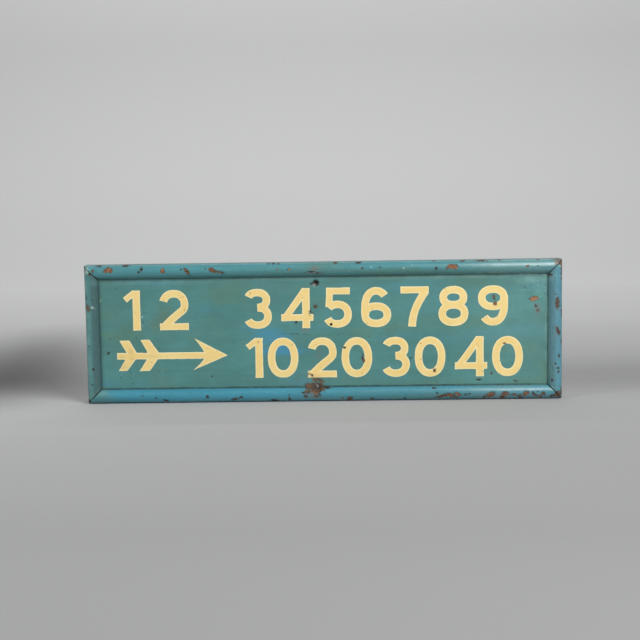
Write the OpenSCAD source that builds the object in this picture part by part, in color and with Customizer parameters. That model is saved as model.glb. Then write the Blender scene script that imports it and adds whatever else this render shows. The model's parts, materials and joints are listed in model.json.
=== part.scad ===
// Painted direction board: one planed softwood board with mitred half-round beading pinned round its face.
// The face looks along -Y, Z is up, and the origin is the middle of the bottom edge, halfway through the depth.

/* [Board] */
// Length of the board
board_w = 648; // [420:1:1200]
// Height of the board
board_h = 190; // [150:1:320]
// Thickness of the board
board_t = 19; // [18:0.5:32]
// Radius rubbed onto the long arrises and the end arrises
arris_r = 1.2; // [0.5:0.1:2]
// Radius at the four corners of the board and of the beading
corner_r = 2.4; // [1.5:0.1:4]

/* [Beading] */
// Width of the half-round beading
bead_w = 19; // [15:0.5:24]
// Height of the beading's crest above the board
bead_rise = 9.5; // [7:0.1:12]
// Square edge left under the round on each side
bead_quirk = 1; // [0.5:0.1:2]
// Distance of the beading from the edge of the board
bead_setback = 0.4; // [0.2:0.1:2]
// Opening of each mitre
mitre_gap = 0.25; // [0.1:0.05:1]

/* [Pins] */
// Length of a panel pin
pin_len = 20; // [15:1:25]
// Thickness of its shank
pin_d = 1.4; // [1:0.1:2]
// Width of its head
pin_head_d = 2.4; // [2.2:0.1:3.2]
// Thickness of its head
pin_head_t = 1; // [0.6:0.1:1.4]
// Length of its point
pin_point = 2.5; // [1.5:0.1:4]
// Depth of the head below the crest of the beading
pin_punch = 0.8; // [0.3:0.1:1.5]
// Spacing of the pins along the top and bottom
pin_pitch = 201; // [90:1:260]
// First pin of the top and bottom, from the left end of the board
pin_first = 76; // [40:1:120]
// Last pin of the top and bottom, from the right end of the board
pin_last = 34; // [30:1:80]
// Pins of the sides, from the top and bottom edges of the board
pin_side = 48; // [30:1:70]
// Room all round a pin in its hole
pin_gap = 0.05; // [0.02:0.01:0.1]

/* [Fixing holes] */
// Width of the screw holes
screw_d = 5; // [4:0.1:6.5]
// Width of their countersinks at the face
countersink_d = 10.4; // [9:0.1:12]
// Distance of the screw holes left of the middle of the board
screw_left = 8.6; // [0:0.1:40]
// Upper screw hole below the top edge
screw_drop = 28.5; // [26:0.5:50]
// Lower screw hole above the bottom edge
screw_lift = 19.5; // [14:0.5:40]
// Room round the screw head where it is let into the bottom beading
notch_gap = 0.6; // [0.2:0.1:1.5]

/* [Hidden] */
$fn = 64;

// Paint and metal colours
board_paint = "#5a8f8a";
bead_paint = "#4f8d99";
pin_steel = "#5b4636";

// Depths: the back of the board, its face and the crest of the beading
depth = board_t + bead_rise;
back_y = depth / 2;
face_y = back_y - board_t;
crest_y = -depth / 2;

// Cuts run past the faces they open by this much
past = 1;
// Room between a pin's point and the end of its hole
pin_end_gap = 0.3;
// Chamfer round the top of a pin's head
pin_head_edge = 0.2;

// Radius of the round that meets both quirks and the crest
round_rise = bead_rise - bead_quirk;
bead_r = (pow(bead_w / 2, 2) + pow(round_rise, 2)) / (2 * round_rise);

// Outer size of the beaded frame, and the line down the middle of each bead
frame_w = board_w - 2 * bead_setback;
frame_h = board_h - 2 * bead_setback;
bead_mid = bead_setback + bead_w / 2;

// Screw holes, and the notch that lets the lower screw's head into the beading
screw_x = -screw_left;
screw_zs = [screw_lift, board_h - screw_drop];
countersink_depth = (countersink_d - screw_d) / 2;
notch_d = countersink_d + 2 * notch_gap;

// Pins along the top and bottom: a row from the left, one at the right end, and none in the screw's notch
pin_min_apart = 20;
pin_row = [for (x = [pin_first : pin_pitch : board_w - pin_last - pin_min_apart]) x - board_w / 2];
pin_clear = (notch_d + pin_head_d) / 2 + past;
long_pin_xs = [for (x = concat(pin_row, board_w / 2 - pin_last)) if (abs(x - screw_x) > pin_clear) x];
side_pin_zs = [pin_side, board_h - pin_side];

// Where each group of pins stands, as [x, z]
top_pin_spots = [for (x = long_pin_xs) [x, board_h - bead_mid]];
bottom_pin_spots = [for (x = long_pin_xs) [x, bead_mid]];
left_pin_spots = [for (z = side_pin_zs) [-board_w / 2 + bead_mid, z]];
right_pin_spots = [for (z = side_pin_zs) [board_w / 2 - bead_mid, z]];
all_pin_spots = concat(top_pin_spots, bottom_pin_spots, left_pin_spots, right_pin_spots);

// Rectangle with round corners, centred
module round_rectangle(w, h, r) {
    square([w - 2 * r, h], center = true);
    square([w, h - 2 * r], center = true);
    for (x = [-1, 1], y = [-1, 1])
        translate([x * (w / 2 - r), y * (h / 2 - r)]) circle(r = r);
}

// Moves its children to a spot on the face, with local Z running into the board and z = 0 at depth y
module at_spot(x, y, z) {
    translate([x, y, z]) rotate([-90, 0, 0]) children();
}

// Outline seen from the front, as a block from depth y0 to y1 with its bottom edge at z0
module front_block(w, h, r, y0, y1, z0) {
    at_spot(0, y0, z0 + h / 2) linear_extrude(height = y1 - y0) round_rectangle(w, h, r);
}

// Planed board: the blocks seen from the front, the end and the top, so that every edge is rounded
module planed_board() {
    mid_y = (face_y + back_y) / 2;
    intersection() {
        front_block(board_w, board_h, corner_r, face_y, back_y, 0);
        translate([0, mid_y, board_h / 2]) rotate([90, 0, 90])
            linear_extrude(height = board_w, center = true) round_rectangle(board_t, board_h, arris_r);
        translate([0, mid_y, 0])
            linear_extrude(height = board_h) round_rectangle(board_w, board_t, arris_r);
    }
}

// Screw hole through the board with its countersink, local z = 0 at the face
module screw_hole() {
    translate([0, 0, -past]) cylinder(d = screw_d, h = board_t + 2 * past);
    translate([0, 0, -past])
        cylinder(d1 = countersink_d + 2 * past, d2 = screw_d, h = countersink_depth + past);
}

// Hole for one pin, local z = 0 at the crest: the punched head's recess, then the shank's hole
module pin_hole() {
    translate([0, 0, -past])
        cylinder(d = pin_head_d + 2 * pin_gap, h = past + pin_punch + pin_head_t);
    cylinder(d = pin_d + 2 * pin_gap, h = pin_punch + pin_len + pin_end_gap);
}

// One panel pin turned about its shank, local z = 0 at the crest of the bead it holds
module panel_pin() {
    head_r = pin_head_d / 2;
    shank_r = pin_d / 2;
    translate([0, 0, pin_punch]) rotate_extrude() polygon([
        [0, 0],
        [head_r - pin_head_edge, 0],
        [head_r, pin_head_edge],
        [head_r, pin_head_t],
        [shank_r, pin_head_t],
        [shank_r, pin_len - pin_point],
        [0, pin_len]
    ]);
}

module pins_at(spots) {
    for (s = spots) at_spot(s.x, crest_y, s.y) panel_pin();
}

module pin_holes_at(spots) {
    for (s = spots) at_spot(s.x, crest_y, s.y) pin_hole();
}

// Section of the beading: x across it from the outer edge, y out from the board
module bead_section() {
    intersection() {
        translate([bead_w / 2, bead_rise - bead_r]) circle(r = bead_r);
        square([bead_w, bead_rise + past]);
    }
}

// Bead along X with its outer edge at z = 0 and its back on the plane y = 0, mitred to 45 degrees at both ends
module mitred_bead(outer_len) {
    half = outer_len / 2 - mitre_gap / sqrt(2);
    intersection() {
        rotate([180, 0, 0]) rotate([0, 90, 0])
            linear_extrude(height = outer_len + 2 * past, center = true) bead_section();
        rotate([90, 0, 0]) linear_extrude(height = bead_rise + past)
            polygon([[-half, 0], [half, 0], [half - bead_w, bead_w], [bead_w - half, bead_w]]);
    }
}

// Turns a bead to one side of the frame and rounds its outer tips: 0 bottom, 90 left, 180 top, 270 right
module side_of_frame(turn) {
    long_side = turn % 180 == 0;
    reach = (long_side ? frame_h : frame_w) / 2;
    intersection() {
        translate([0, face_y, board_h / 2]) rotate([0, turn, 0]) translate([0, 0, -reach])
            mitred_bead(long_side ? frame_w : frame_h);
        front_block(frame_w, frame_h, corner_r, crest_y - past, face_y, bead_setback);
    }
}

module back_board() {
    color(board_paint) difference() {
        planed_board();
        for (z = screw_zs) at_spot(screw_x, face_y, z) screw_hole();
        pin_holes_at(all_pin_spots);
    }
}

module top_bead() {
    color(bead_paint) difference() {
        side_of_frame(180);
        pin_holes_at(top_pin_spots);
    }
}

// The lower screw's head stands half in this bead, in a round notch
module bottom_bead() {
    color(bead_paint) difference() {
        side_of_frame(0);
        pin_holes_at(bottom_pin_spots);
        at_spot(screw_x, crest_y - past, screw_lift) cylinder(d = notch_d, h = bead_rise + 2 * past);
    }
}

module left_bead() {
    color(bead_paint) difference() {
        side_of_frame(90);
        pin_holes_at(left_pin_spots);
    }
}

module right_bead() {
    color(bead_paint) difference() {
        side_of_frame(270);
        pin_holes_at(right_pin_spots);
    }
}

module top_bead_pins() { color(pin_steel) pins_at(top_pin_spots); }

module bottom_bead_pins() { color(pin_steel) pins_at(bottom_pin_spots); }

module left_bead_pins() { color(pin_steel) pins_at(left_pin_spots); }

module right_bead_pins() { color(pin_steel) pins_at(right_pin_spots); }

back_board();
top_bead();
bottom_bead();
left_bead();
right_bead();
top_bead_pins();
bottom_bead_pins();
left_bead_pins();
right_bead_pins();
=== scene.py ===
"""Looks of a painted wooden direction board: worn paint, half-round beading, cream figures and an arrow."""
import json
import math

import bpy
import numpy as np
from bpy.props import FloatProperty, FloatVectorProperty, PointerProperty
from mathutils import Matrix, Vector


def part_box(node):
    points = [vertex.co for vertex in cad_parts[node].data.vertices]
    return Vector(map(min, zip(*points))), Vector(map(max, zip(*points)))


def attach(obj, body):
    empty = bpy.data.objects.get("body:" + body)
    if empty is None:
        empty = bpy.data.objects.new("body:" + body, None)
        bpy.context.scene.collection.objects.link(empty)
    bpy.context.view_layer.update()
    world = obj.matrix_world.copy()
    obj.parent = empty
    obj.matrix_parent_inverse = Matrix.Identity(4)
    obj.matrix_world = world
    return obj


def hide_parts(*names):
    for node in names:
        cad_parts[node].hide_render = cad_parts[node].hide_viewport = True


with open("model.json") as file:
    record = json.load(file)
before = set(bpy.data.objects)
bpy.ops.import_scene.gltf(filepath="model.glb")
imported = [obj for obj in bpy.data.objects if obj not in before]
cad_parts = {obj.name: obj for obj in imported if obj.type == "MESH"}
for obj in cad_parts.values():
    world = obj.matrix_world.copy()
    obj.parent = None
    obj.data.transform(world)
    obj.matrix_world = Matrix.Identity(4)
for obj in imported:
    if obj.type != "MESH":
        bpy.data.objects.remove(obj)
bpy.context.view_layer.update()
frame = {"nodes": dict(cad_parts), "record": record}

bl_info = {
    "name": "Painted Direction Board",
    "version": (1, 0, 0),
    "blender": (4, 5, 0),
    "location": "View3D > Sidebar > Sign",
    "description": "Makes a worn painted sign board with beading, figures, an arrow and a studio round it",
    "category": "Object",
}

MM = 0.001

# Places taken from the frame
RECORD = frame["record"]
BOARD_LO, BOARD_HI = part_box("back_board")
TOP_BEAD_LO, TOP_BEAD_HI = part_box("top_bead")
FACE_Y = BOARD_LO.y
BACK_Y = BOARD_HI.y
HALF_W = BOARD_HI.x
BOARD_H = BOARD_HI.z
SETBACK = BOARD_H - TOP_BEAD_HI.z
BEAD_W = TOP_BEAD_HI.z - TOP_BEAD_LO.z
BEAD_RISE = TOP_BEAD_HI.y - TOP_BEAD_LO.y
FRAME_HALF_W = HALF_W - SETBACK
INNER_HALF_W = FRAME_HALF_W - BEAD_W
INNER_LO_Z = SETBACK + BEAD_W
INNER_HI_Z = BOARD_H - INNER_LO_Z
MITRE_PLAY = FRAME_HALF_W - TOP_BEAD_HI.x

# Sizes of the real board that the frame's boxes don't give: corners, rubbed edges, the straight foot of a
# bead's round, the break round the lower screw, and the old nail hole, its place and radius in mm
CORNER_R = 2.4 * MM
ARRIS_R = 1.2 * MM
BEAD_QUIRK = 1.0 * MM
NOTCH_R = 5.8 * MM
NAIL_HOLE = (11.4, 105.0)
NAIL_HOLE_R = 1.5

# Bare spots in the paint, in mm seen from the front: x, z, length, height, turn in degrees, tone.
# A tone of 0 is dirt, 0.5 brown wood, 0.8 orange-brown wood and 1 pale wood.
TOP_BEAD_SPOTS = [
    (-310.6, 183.4, 5, 4, 40, 0.7), (-289.3, 183.4, 12, 7, 5, 0.85), (-266.2, 188.9, 8, 2.4, 0, 0.4),
    (-244.5, 184.4, 2.6, 4.6, 5, 0.3), (-215.5, 181.2, 6.5, 7, -10, 0.85),
    (-182.3, 180.6, 11, 4.6, -48, 0.6), (-147, 181, 12, 5.5, -30, 0.66), (-138, 178.8, 12, 3.6, -18, 0.7),
    (-190.5, 183, 2.4, 2, 0, 0.1), (-157, 184.5, 2.6, 1.8, 30, 0.1), (-71, 189.1, 3.2, 1.8, 0, 0.2),
    (-65.5, 189.2, 2.6, 1.6, 0, 0.2), (-59, 189.2, 2.6, 1.6, 0, 0.3), (-43.9, 181, 3.2, 2.8, 0, 0.9),
    (-59.5, 181.4, 2.4, 2, 0, 1), (18.4, 189.1, 5, 2, 0, 0.5), (49, 188.9, 6, 2.4, 0, 0.3),
    (54.3, 181.8, 3.4, 2.6, 0, 0.7), (78.5, 181.5, 3, 2.4, 0, 0.7), (153.9, 179, 2.6, 2.4, 0, 0.25),
    (176, 181.6, 16, 6.4, 3, 0.85), (189.5, 189.2, 5, 1.8, 0, 0.6), (216.4, 189.1, 14, 2.2, 0, 0.35),
    (240, 189.2, 4, 1.6, 0, 0.5), (276.5, 181, 3.4, 2.2, 10, 0.75), (-303, 189.2, 7, 1.6, 0, 0.3),
    (150, 189.3, 4, 1.4, 0, 0.5), (292, 189.3, 5, 1.3, 0, 0.5), (316, 186.3, 9, 2.6, 45, 0.9),
    (318, 189.2, 12, 2.4, 0, 0.5),
]
BOTTOM_BEAD_SPOTS = [
    (-229.3, 7.8, 3, 2.4, 0, 0.15), (-215.9, 4.1, 6, 2.4, 0, 0.4), (-159, 8.6, 4, 3, 0, 0.35),
    (-122, 4.6, 12, 3.2, 12, 0.65), (-112.6, 7.6, 3.4, 4, 60, 0.35), (-66.3, 2.2, 10, 3.4, 0, 0.3),
    (-46.4, 3.8, 2.6, 6, 10, 0.6), (-24.2, 7.7, 4, 2.6, 0, 0.7), (35.4, 4.2, 7, 4.6, 10, 0.7),
    (26, 5, 2.6, 2, 0, 1), (66.1, 3.4, 4.5, 2.6, 0, 0.6), (110.4, 3.8, 2.6, 2, 0, 0.2),
    (151, 17, 4.4, 1.6, 0, 0.3), (160, 5.4, 14, 3.8, 8, 0.6), (171.5, 7, 14, 5.6, -6, 0.8),
    (182.5, 8.4, 9, 4.6, -35, 0.8), (179, 4.4, 8, 2.4, 10, 0.7), (193, 7.6, 3.4, 1.8, 0, 0.2),
    (198, 8.4, 2.6, 1.6, 0, 0.2), (226, 7.4, 12, 7, 15, 0.68), (218, 3.6, 7, 2.6, 40, 0.6),
    (246, 7.8, 11, 7, 8, 0.64), (243, 3.4, 7, 3, 0, 0.6), (258, 6.8, 8, 3, 0, 0.7),
    (265.5, 5.2, 8, 3, 25, 0.64), (274, 8.4, 9, 6, 40, 0.68), (268, 2.6, 5, 3, 0, 0.5),
    (284, 8.8, 3.6, 4, -35, 0.2), (288, 5, 8, 3, -10, 0.5), (294, 4, 6, 4, 0, 0.75),
    (297.6, 8.2, 4, 6, 35, 0.52), (317.6, 7, 9, 9, 40, 0.5), (310.5, 4.6, 6, 3.4, 0, 0.45),
]
SIDE_BEAD_SPOTS = [
    (-318.4, 131.6, 2.6, 6.4, 6, 0.95), (-320.8, 146, 2, 3.4, 0, 0.4), (-316, 27, 2.2, 1.6, 0, 0.05),
    (-314.6, 178.4, 3, 3, 40, 0.5), (-318.6, 80, 1.8, 1.8, 0, 0.1), (-322.9, 186, 1.6, 8, 0, 0.6),
    (-322, 3.6, 4, 6, 0, 0.3), (316.6, 130.8, 5.4, 15, -6, 0.45), (317.8, 92.5, 4.4, 9, 20, 0.4),
    (315.8, 97, 3, 3, 0, 0.7), (322.7, 78, 1.8, 7, 0, 0.5), (318.6, 59.8, 2.2, 5, 0, 0.3),
    (317.6, 42.6, 3, 3, 0, 0.2), (318.2, 36.9, 3.4, 3.4, 0, 0.1), (309.4, 25.8, 3.4, 3.4, 0, 0.2),
    (322.8, 176, 2, 22, 0, 0.6), (321.6, 186, 4.4, 9, -10, 0.75), (307, 169, 5, 4, 30, 0.3),
    (322.6, 9, 2.6, 14, 0, 0.5), (322.9, 120, 1.2, 10, 0, 0.45),
]
FACE_SPOTS = [
    (-9.6, 129.8, 5.6, 5, 0, 0.55), (-17.4, 122.4, 2.2, 5, -24, 0.5), (-12.8, 119.9, 2.4, 2.4, 0, 0.45),
    (-17.6, 117.8, 2.6, 2.2, 0, 0.4), (-36.4, 108.9, 3, 3.4, 20, 0.15), (232.4, 138.9, 4, 6.4, 15, 0.78),
    (233.4, 130.4, 5.4, 6, 20, 0.84), (286, 136.4, 12, 6.6, 10, 0.95), (288.2, 126.4, 2.6, 4, 0, 0.66),
    (291.4, 121, 3.2, 3, -30, 0.78), (-294, 69.4, 2.8, 1.8, 20, 0.15), (151.1, 40.4, 4, 4.4, 0, 0.55),
    (228.3, 35.3, 3.4, 3.2, 0, 0.6), (119.4, 57.5, 2.4, 2.2, 0, 0.15), (28.8, 72.7, 2.6, 2.4, 0, 0.2),
    (53.4, 60.4, 2.4, 9, 14, 0.4), (54.8, 54.6, 3, 5, 14, 0.7), (-152, 36, 2.2, 2.2, 0, 0.15),
    (246, 76, 2.6, 2.4, 0, 0.5), (211, 26.8, 4.6, 1.6, 10, 0.25), (-216, 41, 2.2, 2.4, 0, 0.15),
    (-291, 88, 2.2, 2.2, 0, 0.15), (261, 24.2, 4.4, 1.8, -10, 0.3),
]
# Torn paint and splintered wood round the two screw holes
SCREW_SPOTS = [
    (-6.2, 162, 2.6, 4.6, 5, 0.6), (-14.6, 160.8, 3.4, 2.4, 30, 0.05), (-13.4, 177.4, 9, 1.2, 2, 0.15),
    (-4.4, 175.6, 6, 1.2, -4, 0.15), (-19.8, 20.9, 9.6, 5.4, -8, 0.66), (-24.6, 21.8, 3.4, 2, 10, 0.1),
    (-2.2, 16.9, 5, 4.4, 20, 0.62), (-11.2, 12.8, 7, 6.4, 10, 0.78), (-15.8, 14.8, 4, 3, 0, 0.6),
    (-21.8, 13.9, 9, 2, 6, 0.4), (-28.4, 12.8, 4, 1.4, -12, 0.3), (-9.4, 8.4, 3, 4.6, 20, 0.6),
    (-1.9, 21.8, 2.4, 6, 32, 0.06), (1.4, 19.2, 5.4, 2.4, -30, 0.06), (5.6, 18.5, 6, 1.6, -4, 0.06),
    (-6, 28.6, 2, 5, 24, 0.25), (-19.8, 37.4, 3.4, 3, 20, 0.5), (-15.6, 35.4, 4, 1.8, -30, 0.6),
    (-24.6, 8.4, 3, 1.6, 0, 0.2), (-5.4, 9.2, 1.8, 3.6, 25, 0.3), (-36, 92.4, 11, 1, -2, 0.1),
]
BARE_SPOTS = TOP_BEAD_SPOTS + BOTTOM_BEAD_SPOTS + SIDE_BEAD_SPOTS + FACE_SPOTS + SCREW_SPOTS
# Soft patches, in mm: x, z, length, height, strength. Here an older green coat shows; the patches along
# the top bead's downward-facing lower half and on its crest are painted shade.
GREEN_COAT_AND_SHADE_PATCHES = [
    (-217, 114, 34, 36, 1), (-60, 158, 150, 16, 0.3), (-140, 150, 60, 16, 0.4), (150, 112, 90, 14, 0.3),
    (298, 34, 22, 44, 0.7), (200, 160, 60, 18, 0.45), (-262, 100, 60, 50, 0.4), (60, 26, 190, 12, 0.35),
    (250, 162, 60, 20, 0.3), (-300, 150, 20, 60, 0.35), (90, 175.5, 340, 8, 0.9), (-60, 178, 90, 12, 0.6),
    (-4, 183, 60, 14, 0.9), (-304, 12, 40, 24, 0.9), (250, 14, 150, 12, 0.5), (140, 9, 300, 20, 0.6),
    (250, 182, 170, 14, 0.5),
]
# Where a blue coat shows through
BLUE_PATCHES = [
    (-92, 100.5, 26, 13, 0.6), (-76, 92.5, 42, 13, 0.65), (-59, 84, 26, 20, 1), (-56, 73, 30, 14, 1),
    (-48, 68.6, 46, 9, 0.95), (-76, 70, 22, 9, 0.8), (-38, 68, 20, 11, 0.85), (-70, 84, 20, 12, 0.7),
    (-298, 26, 26, 10, 0.4), (-236, 165, 70, 10, 0.4), (-28, 26, 34, 12, 0.4), (-155, 128, 40, 10, 0.25),
    (262, 96, 50, 16, 0.12), (-22, 100, 40, 8, 0.2),
]
# Where the paint is paler, in the same form: paint paled with age, and painted light on faces that the
# lamps reach more, along the top edge, the foot of the bottom bead, the left bead's outer side and strips
# beside the top and right beads
FADED_AND_LIT_PATCHES = [
    (-321.5, 160, 8, 60, 1), (-318, 184, 10, 12, 0.8), (-320.6, 90, 9, 190, 1), (286, 164, 56, 14, 0.8),
    (296, 150, 26, 26, 0.35), (190, 168.4, 320, 6, 0.95), (-60, 168.4, 260, 4.6, 0.6),
    (-232, 166.6, 170, 9, 0.55), (320, 170, 8, 30, 0.5), (304, 95, 5, 150, 0.7), (0, 3.2, 640, 5, 0.45),
    (0, 190.2, 700, 1.6, 0.5), (-302, 15.6, 14, 8, 0.7), (262, 100, 130, 160, 0.22),
]
# Brown smudges in the same form
SMUDGES = [
    (-10.6, 180.4, 10, 9, 1), (-9, 176, 18, 4, 0.6), (-20, 181, 12, 4, 0.3), (-15, 7, 26, 8, 0.5),
    (291, 122, 10, 12, 0.6), (289, 128, 8, 6, 0.4), (150, 6, 30, 7, 0.35), (235, 6, 60, 7, 0.4),
    (285, 6, 40, 7, 0.45), (317, 128, 7, 22, 0.45), (317, 93, 6, 14, 0.4), (-5.5, 66, 6, 18, 0.4),
    (-23.6, 98, 13, 8, 0.45), (-14, 45, 8, 8, 0.25), (-318.4, 131.6, 5, 10, 0.6), (-36, 28, 20, 8, 0.2),
    (-19, 36, 10, 6, 0.7),
]
# Where fine dark and pale flecks lie thickest
FLECKED = [
    (-285, 155, 50, 40, 1), (-235, 160, 60, 20, 0.9), (-255, 118, 70, 50, 0.9), (-262, 30, 60, 20, 0.5),
    (120, 92, 80, 12, 0.5), (-40, 92, 60, 10, 0.5), (285, 150, 40, 40, 0.6), (60, 26, 120, 8, 0.4),
]
# Khaki stains, where the paint is worn to dirty wood
KHAKI_STAINS = [
    (-13.7, 18.2, 27, 18, 1.1), (-11, 30, 13, 12, 0.85), (-3.6, 25, 7, 14, 0.75), (-22, 14, 14, 9, 0.9),
    (-10.3, 8, 9, 8, 0.75), (-19, 35.4, 8, 4, 0.5), (0, 17.6, 8, 6, 0.75), (-25, 22, 8, 5, 0.5),
    (-318.4, 131.6, 7, 12, 0.6),
]
# Faint brown stains on the cream paint of the arrow's tail
CREAM_STAINS = [
    (-274, 49, 12, 8, 0.55), (-276, 63.5, 10, 6, 0.4), (-263, 72, 8, 10, 0.45), (-262, 62, 8, 6, 0.45),
    (-234, 64, 18, 3, 0.5),
]
# Pale rubs and knocks in the paint, in mm: x, z, length, height, turn in degrees
PALE_SPOTS = [
    (277, 169.8, 36, 2.6, -1), (300, 168.6, 6, 3, -20), (283, 147.6, 40, 1.3, -4), (291.5, 154.8, 2, 2, 0),
    (292.9, 138.5, 2, 2, 0), (302.4, 150, 1.4, 22, 0), (-319.4, 183, 7, 11, 14), (-302.6, 142.1, 2.4, 6, 0),
    (-312.6, 133, 4, 4, 0), (-302.4, 131, 1.6, 5, 0), (-246, 119, 2.4, 4, 10), (110.7, 180.7, 3.6, 3.4, 0),
    (-59.5, 181.4, 2.6, 2, 0), (66, 183.4, 4, 1.6, 0), (-322.4, 120, 1.6, 26, 0),
    (-309.8, 132.6, 2.6, 2.4, 0), (26, 5, 3, 2, 0), (252, 134, 2, 2, 0), (-235, 112, 1.6, 4, 20),
    (-198, 62, 2, 2, 0), (321, 183, 3, 8, -20), (310, 15.6, 6, 2, 40),
]
# How much of each pin shows, from 0 (painted over) to 1 (rusted dot), from the left or from the bottom
PINS_SHOWN = {
    "top": (1, 0.1, 0.8, 0.1),
    "bottom": (0.3, 0.1, 0.5, 0.2),
    "left": (0.9, 0.0),
    "right": (0.5, 0.1),
}
# The beads that run along X
ALONG_X = ("top", "bottom")
# How much painted shade, with some dirt, darkens the inner flank of each bead
FLANK_SHADE_AND_DIRT = {"left": 0.85, "right": 0.48, "top": 0.12, "bottom": 0.0}
# The scab of old paint in the mouth of each screw hole, in mm: across and up from its middle, width
SCREW_SCABS = {"upper_screw_hole": (-1.7, -1.9, 1.4), "lower_screw_hole": (-0.2, 2.9, 2.8)}
# A countersink's rings: share of the way out from the bore, and depth in mm
SINK_RINGS = [(1.0, 0.25), (0.86, 0.75), (0.7, 1.35), (0.5, 2.1), (0.3, 2.7)]
SINK_END_SHARE, SINK_END_DEPTH = SINK_RINGS[-1]
# Knots of the bare back, in mm: x, z, length, height
KNOTS = [(-210, 128, 46, 20), (96, 52, 60, 26), (262, 140, 34, 16)]
# Rings along the board's sides, and how many grid lines to each side of a screw hole its block takes
SIDE_LINES = 5
HOLE_BLOCK = 6
# Step of a grid where it is finest
FINE_STEP = 0.45 * MM
# Chips in the paint reach this far back from the face, in mm
CHIPPED_TO = 3.2
# Relief of the face, in mm: how far it lies inside the board's box, then waves, ridges, chips, nail hole
FACE_INSET = 0.12
WAVE_DEPTH = 0.06
RIDGE_DEPTH = 0.018
CHIP_DEPTH = 0.22
NAIL_DEPTH = 2.4
# How deep the marks of the saw and the waves of the back are, in mm
SAW_DEPTH = 0.05
BACK_WAVE_DEPTH = 0.1
# In mm: dents of the board's edges, a bead's waves, the pit over a pin by depth and radii, the dip at a mitre
EDGE_DENT = 0.06
BEAD_WAVE = 0.05
PIT_DEPTH = 0.95
PIT_FLOOR_R = 1.15
PIT_RIM_R = 1.75
MITRE_DIP = 0.18
# A screw hole's mouth is torn by this share of its radius, and its sink splintered by this many mm
MOUTH_TORN = 0.07
SPLINTERS = 0.12
# The rings between a hole's square block and its mouth, as shares of the way
MOUTH_RINGS = (0.35, 0.7, 0.92)


def srgb(red, green, blue):
    """Linear colour of an 8-bit screen colour."""
    parts = np.array([red, green, blue]) / 255
    linear = np.where(parts <= 0.04045, parts / 12.92, ((parts + 0.055) / 1.055) ** 2.4)
    return tuple(float(c) for c in linear)


def value_noise(across, up, seed):
    """Smooth noise from -1 to 1: random values on a unit lattice, the four nearest blended smoothly."""
    lattice = np.random.default_rng(seed).uniform(-1, 1, (256, 256))
    i, j = np.floor(across).astype(int), np.floor(up).astype(int)
    a, b = across - i, up - j
    a, b = a * a * (3 - 2 * a), b * b * (3 - 2 * b)

    def corner(di, dj):
        return lattice[(i + di) % 256, (j + dj) % 256]

    low = corner(0, 0) * (1 - a) + corner(1, 0) * a
    high = corner(0, 1) * (1 - a) + corner(1, 1) * a
    return low * (1 - b) + high * b


def layered_noise(across, up, seed):
    """Sum of three value noises, each twice as fine and half as strong as the one before."""
    return sum(value_noise(across * 2**k, up * 2**k, seed + k) / 2**k for k in range(3))


def cells(x, z, wide, high):
    """Places counted in cells of a noise, whose width and height are given in mm."""
    return x / (wide * MM), z / (high * MM)


def bell(across, up):
    """1 in the middle and falling off to all sides, with e to the minus square of the distance."""
    return np.exp(-(across**2) - up**2)


def sides_gap(x, z, half_w, low_z, high_z):
    """How far inside the nearest side of a rectangle each point lies."""
    return np.minimum(half_w - np.abs(x), np.minimum(z - low_z, high_z - z))


def ease(value, start, end):
    """0 before start, 1 after end, and a cubic ease between them. End may be below start."""
    t = np.clip((value - start) / (end - start), 0, 1)
    return t * t * (3 - 2 * t)


def spot_depth(x, z, spots):
    """Distance inside the nearest spot's edge in mm, less than 0 outside, and that spot's last number.

    Each spot is an ellipse in a plane whose points are first shifted by noise, so its outline wanders."""
    x, z = x / MM, z / MM
    shift = 0.7
    x = x + shift * value_noise(x / 3.1, z / 3.1, 31)
    z = z + shift * value_noise(x / 2.6, z / 2.6, 32)
    inside = np.full(x.shape, -6.0)
    tone = np.full(x.shape, 0.5)
    for spot_x, spot_z, length, height, turn, *rest in spots:
        c, s = math.cos(math.radians(turn)), math.sin(math.radians(turn))
        along = (x - spot_x) * c + (z - spot_z) * s
        over = (z - spot_z) * c - (x - spot_x) * s
        depth = (1 - np.hypot(along / (length / 2), over / (height / 2))) * min(length, height) / 2
        nearer = depth > inside
        inside = np.where(nearer, depth, inside)
        tone = np.where(nearer, rest[0] if rest else 1, tone)
    return inside, tone


def patches(x, z, places, shift=9):
    """Strongest of the soft patches at each point: a bell over each, its place shifted by noise."""
    x, z = x / MM, z / MM
    wander = shift * layered_noise(x / 30, z / 14, 41)
    total = np.zeros(x.shape)
    for patch_x, patch_z, length, height, strength in places:
        across = (x - patch_x + wander) / (length / 2)
        up = (z - patch_z + wander / 2) / (height / 2)
        total = np.maximum(total, strength * bell(across, up))
    return total


def face_relief(x, z):
    """Depth of the painted face below the board's plane: planing waves, brush ridges, chips, nail hole."""
    waves = WAVE_DEPTH * layered_noise(*cells(x, z, 130, 30), 11)
    swell = 1 + value_noise(*cells(x, z, 60, 30), 16)
    ridges = RIDGE_DEPTH * value_noise(*cells(x, z, 80, 4.6), 15) * swell
    inside, _ = spot_depth(x, z, BARE_SPOTS)
    chips = CHIP_DEPTH * ease(inside, -0.3, 0.6)
    nail = np.hypot(x - NAIL_HOLE[0] * MM, z - NAIL_HOLE[1] * MM) / MM
    hole = NAIL_DEPTH * ease(nail, NAIL_HOLE_R + 0.5, NAIL_HOLE_R - 0.6)
    return MM * (FACE_INSET + waves + ridges + chips + hole)


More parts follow.
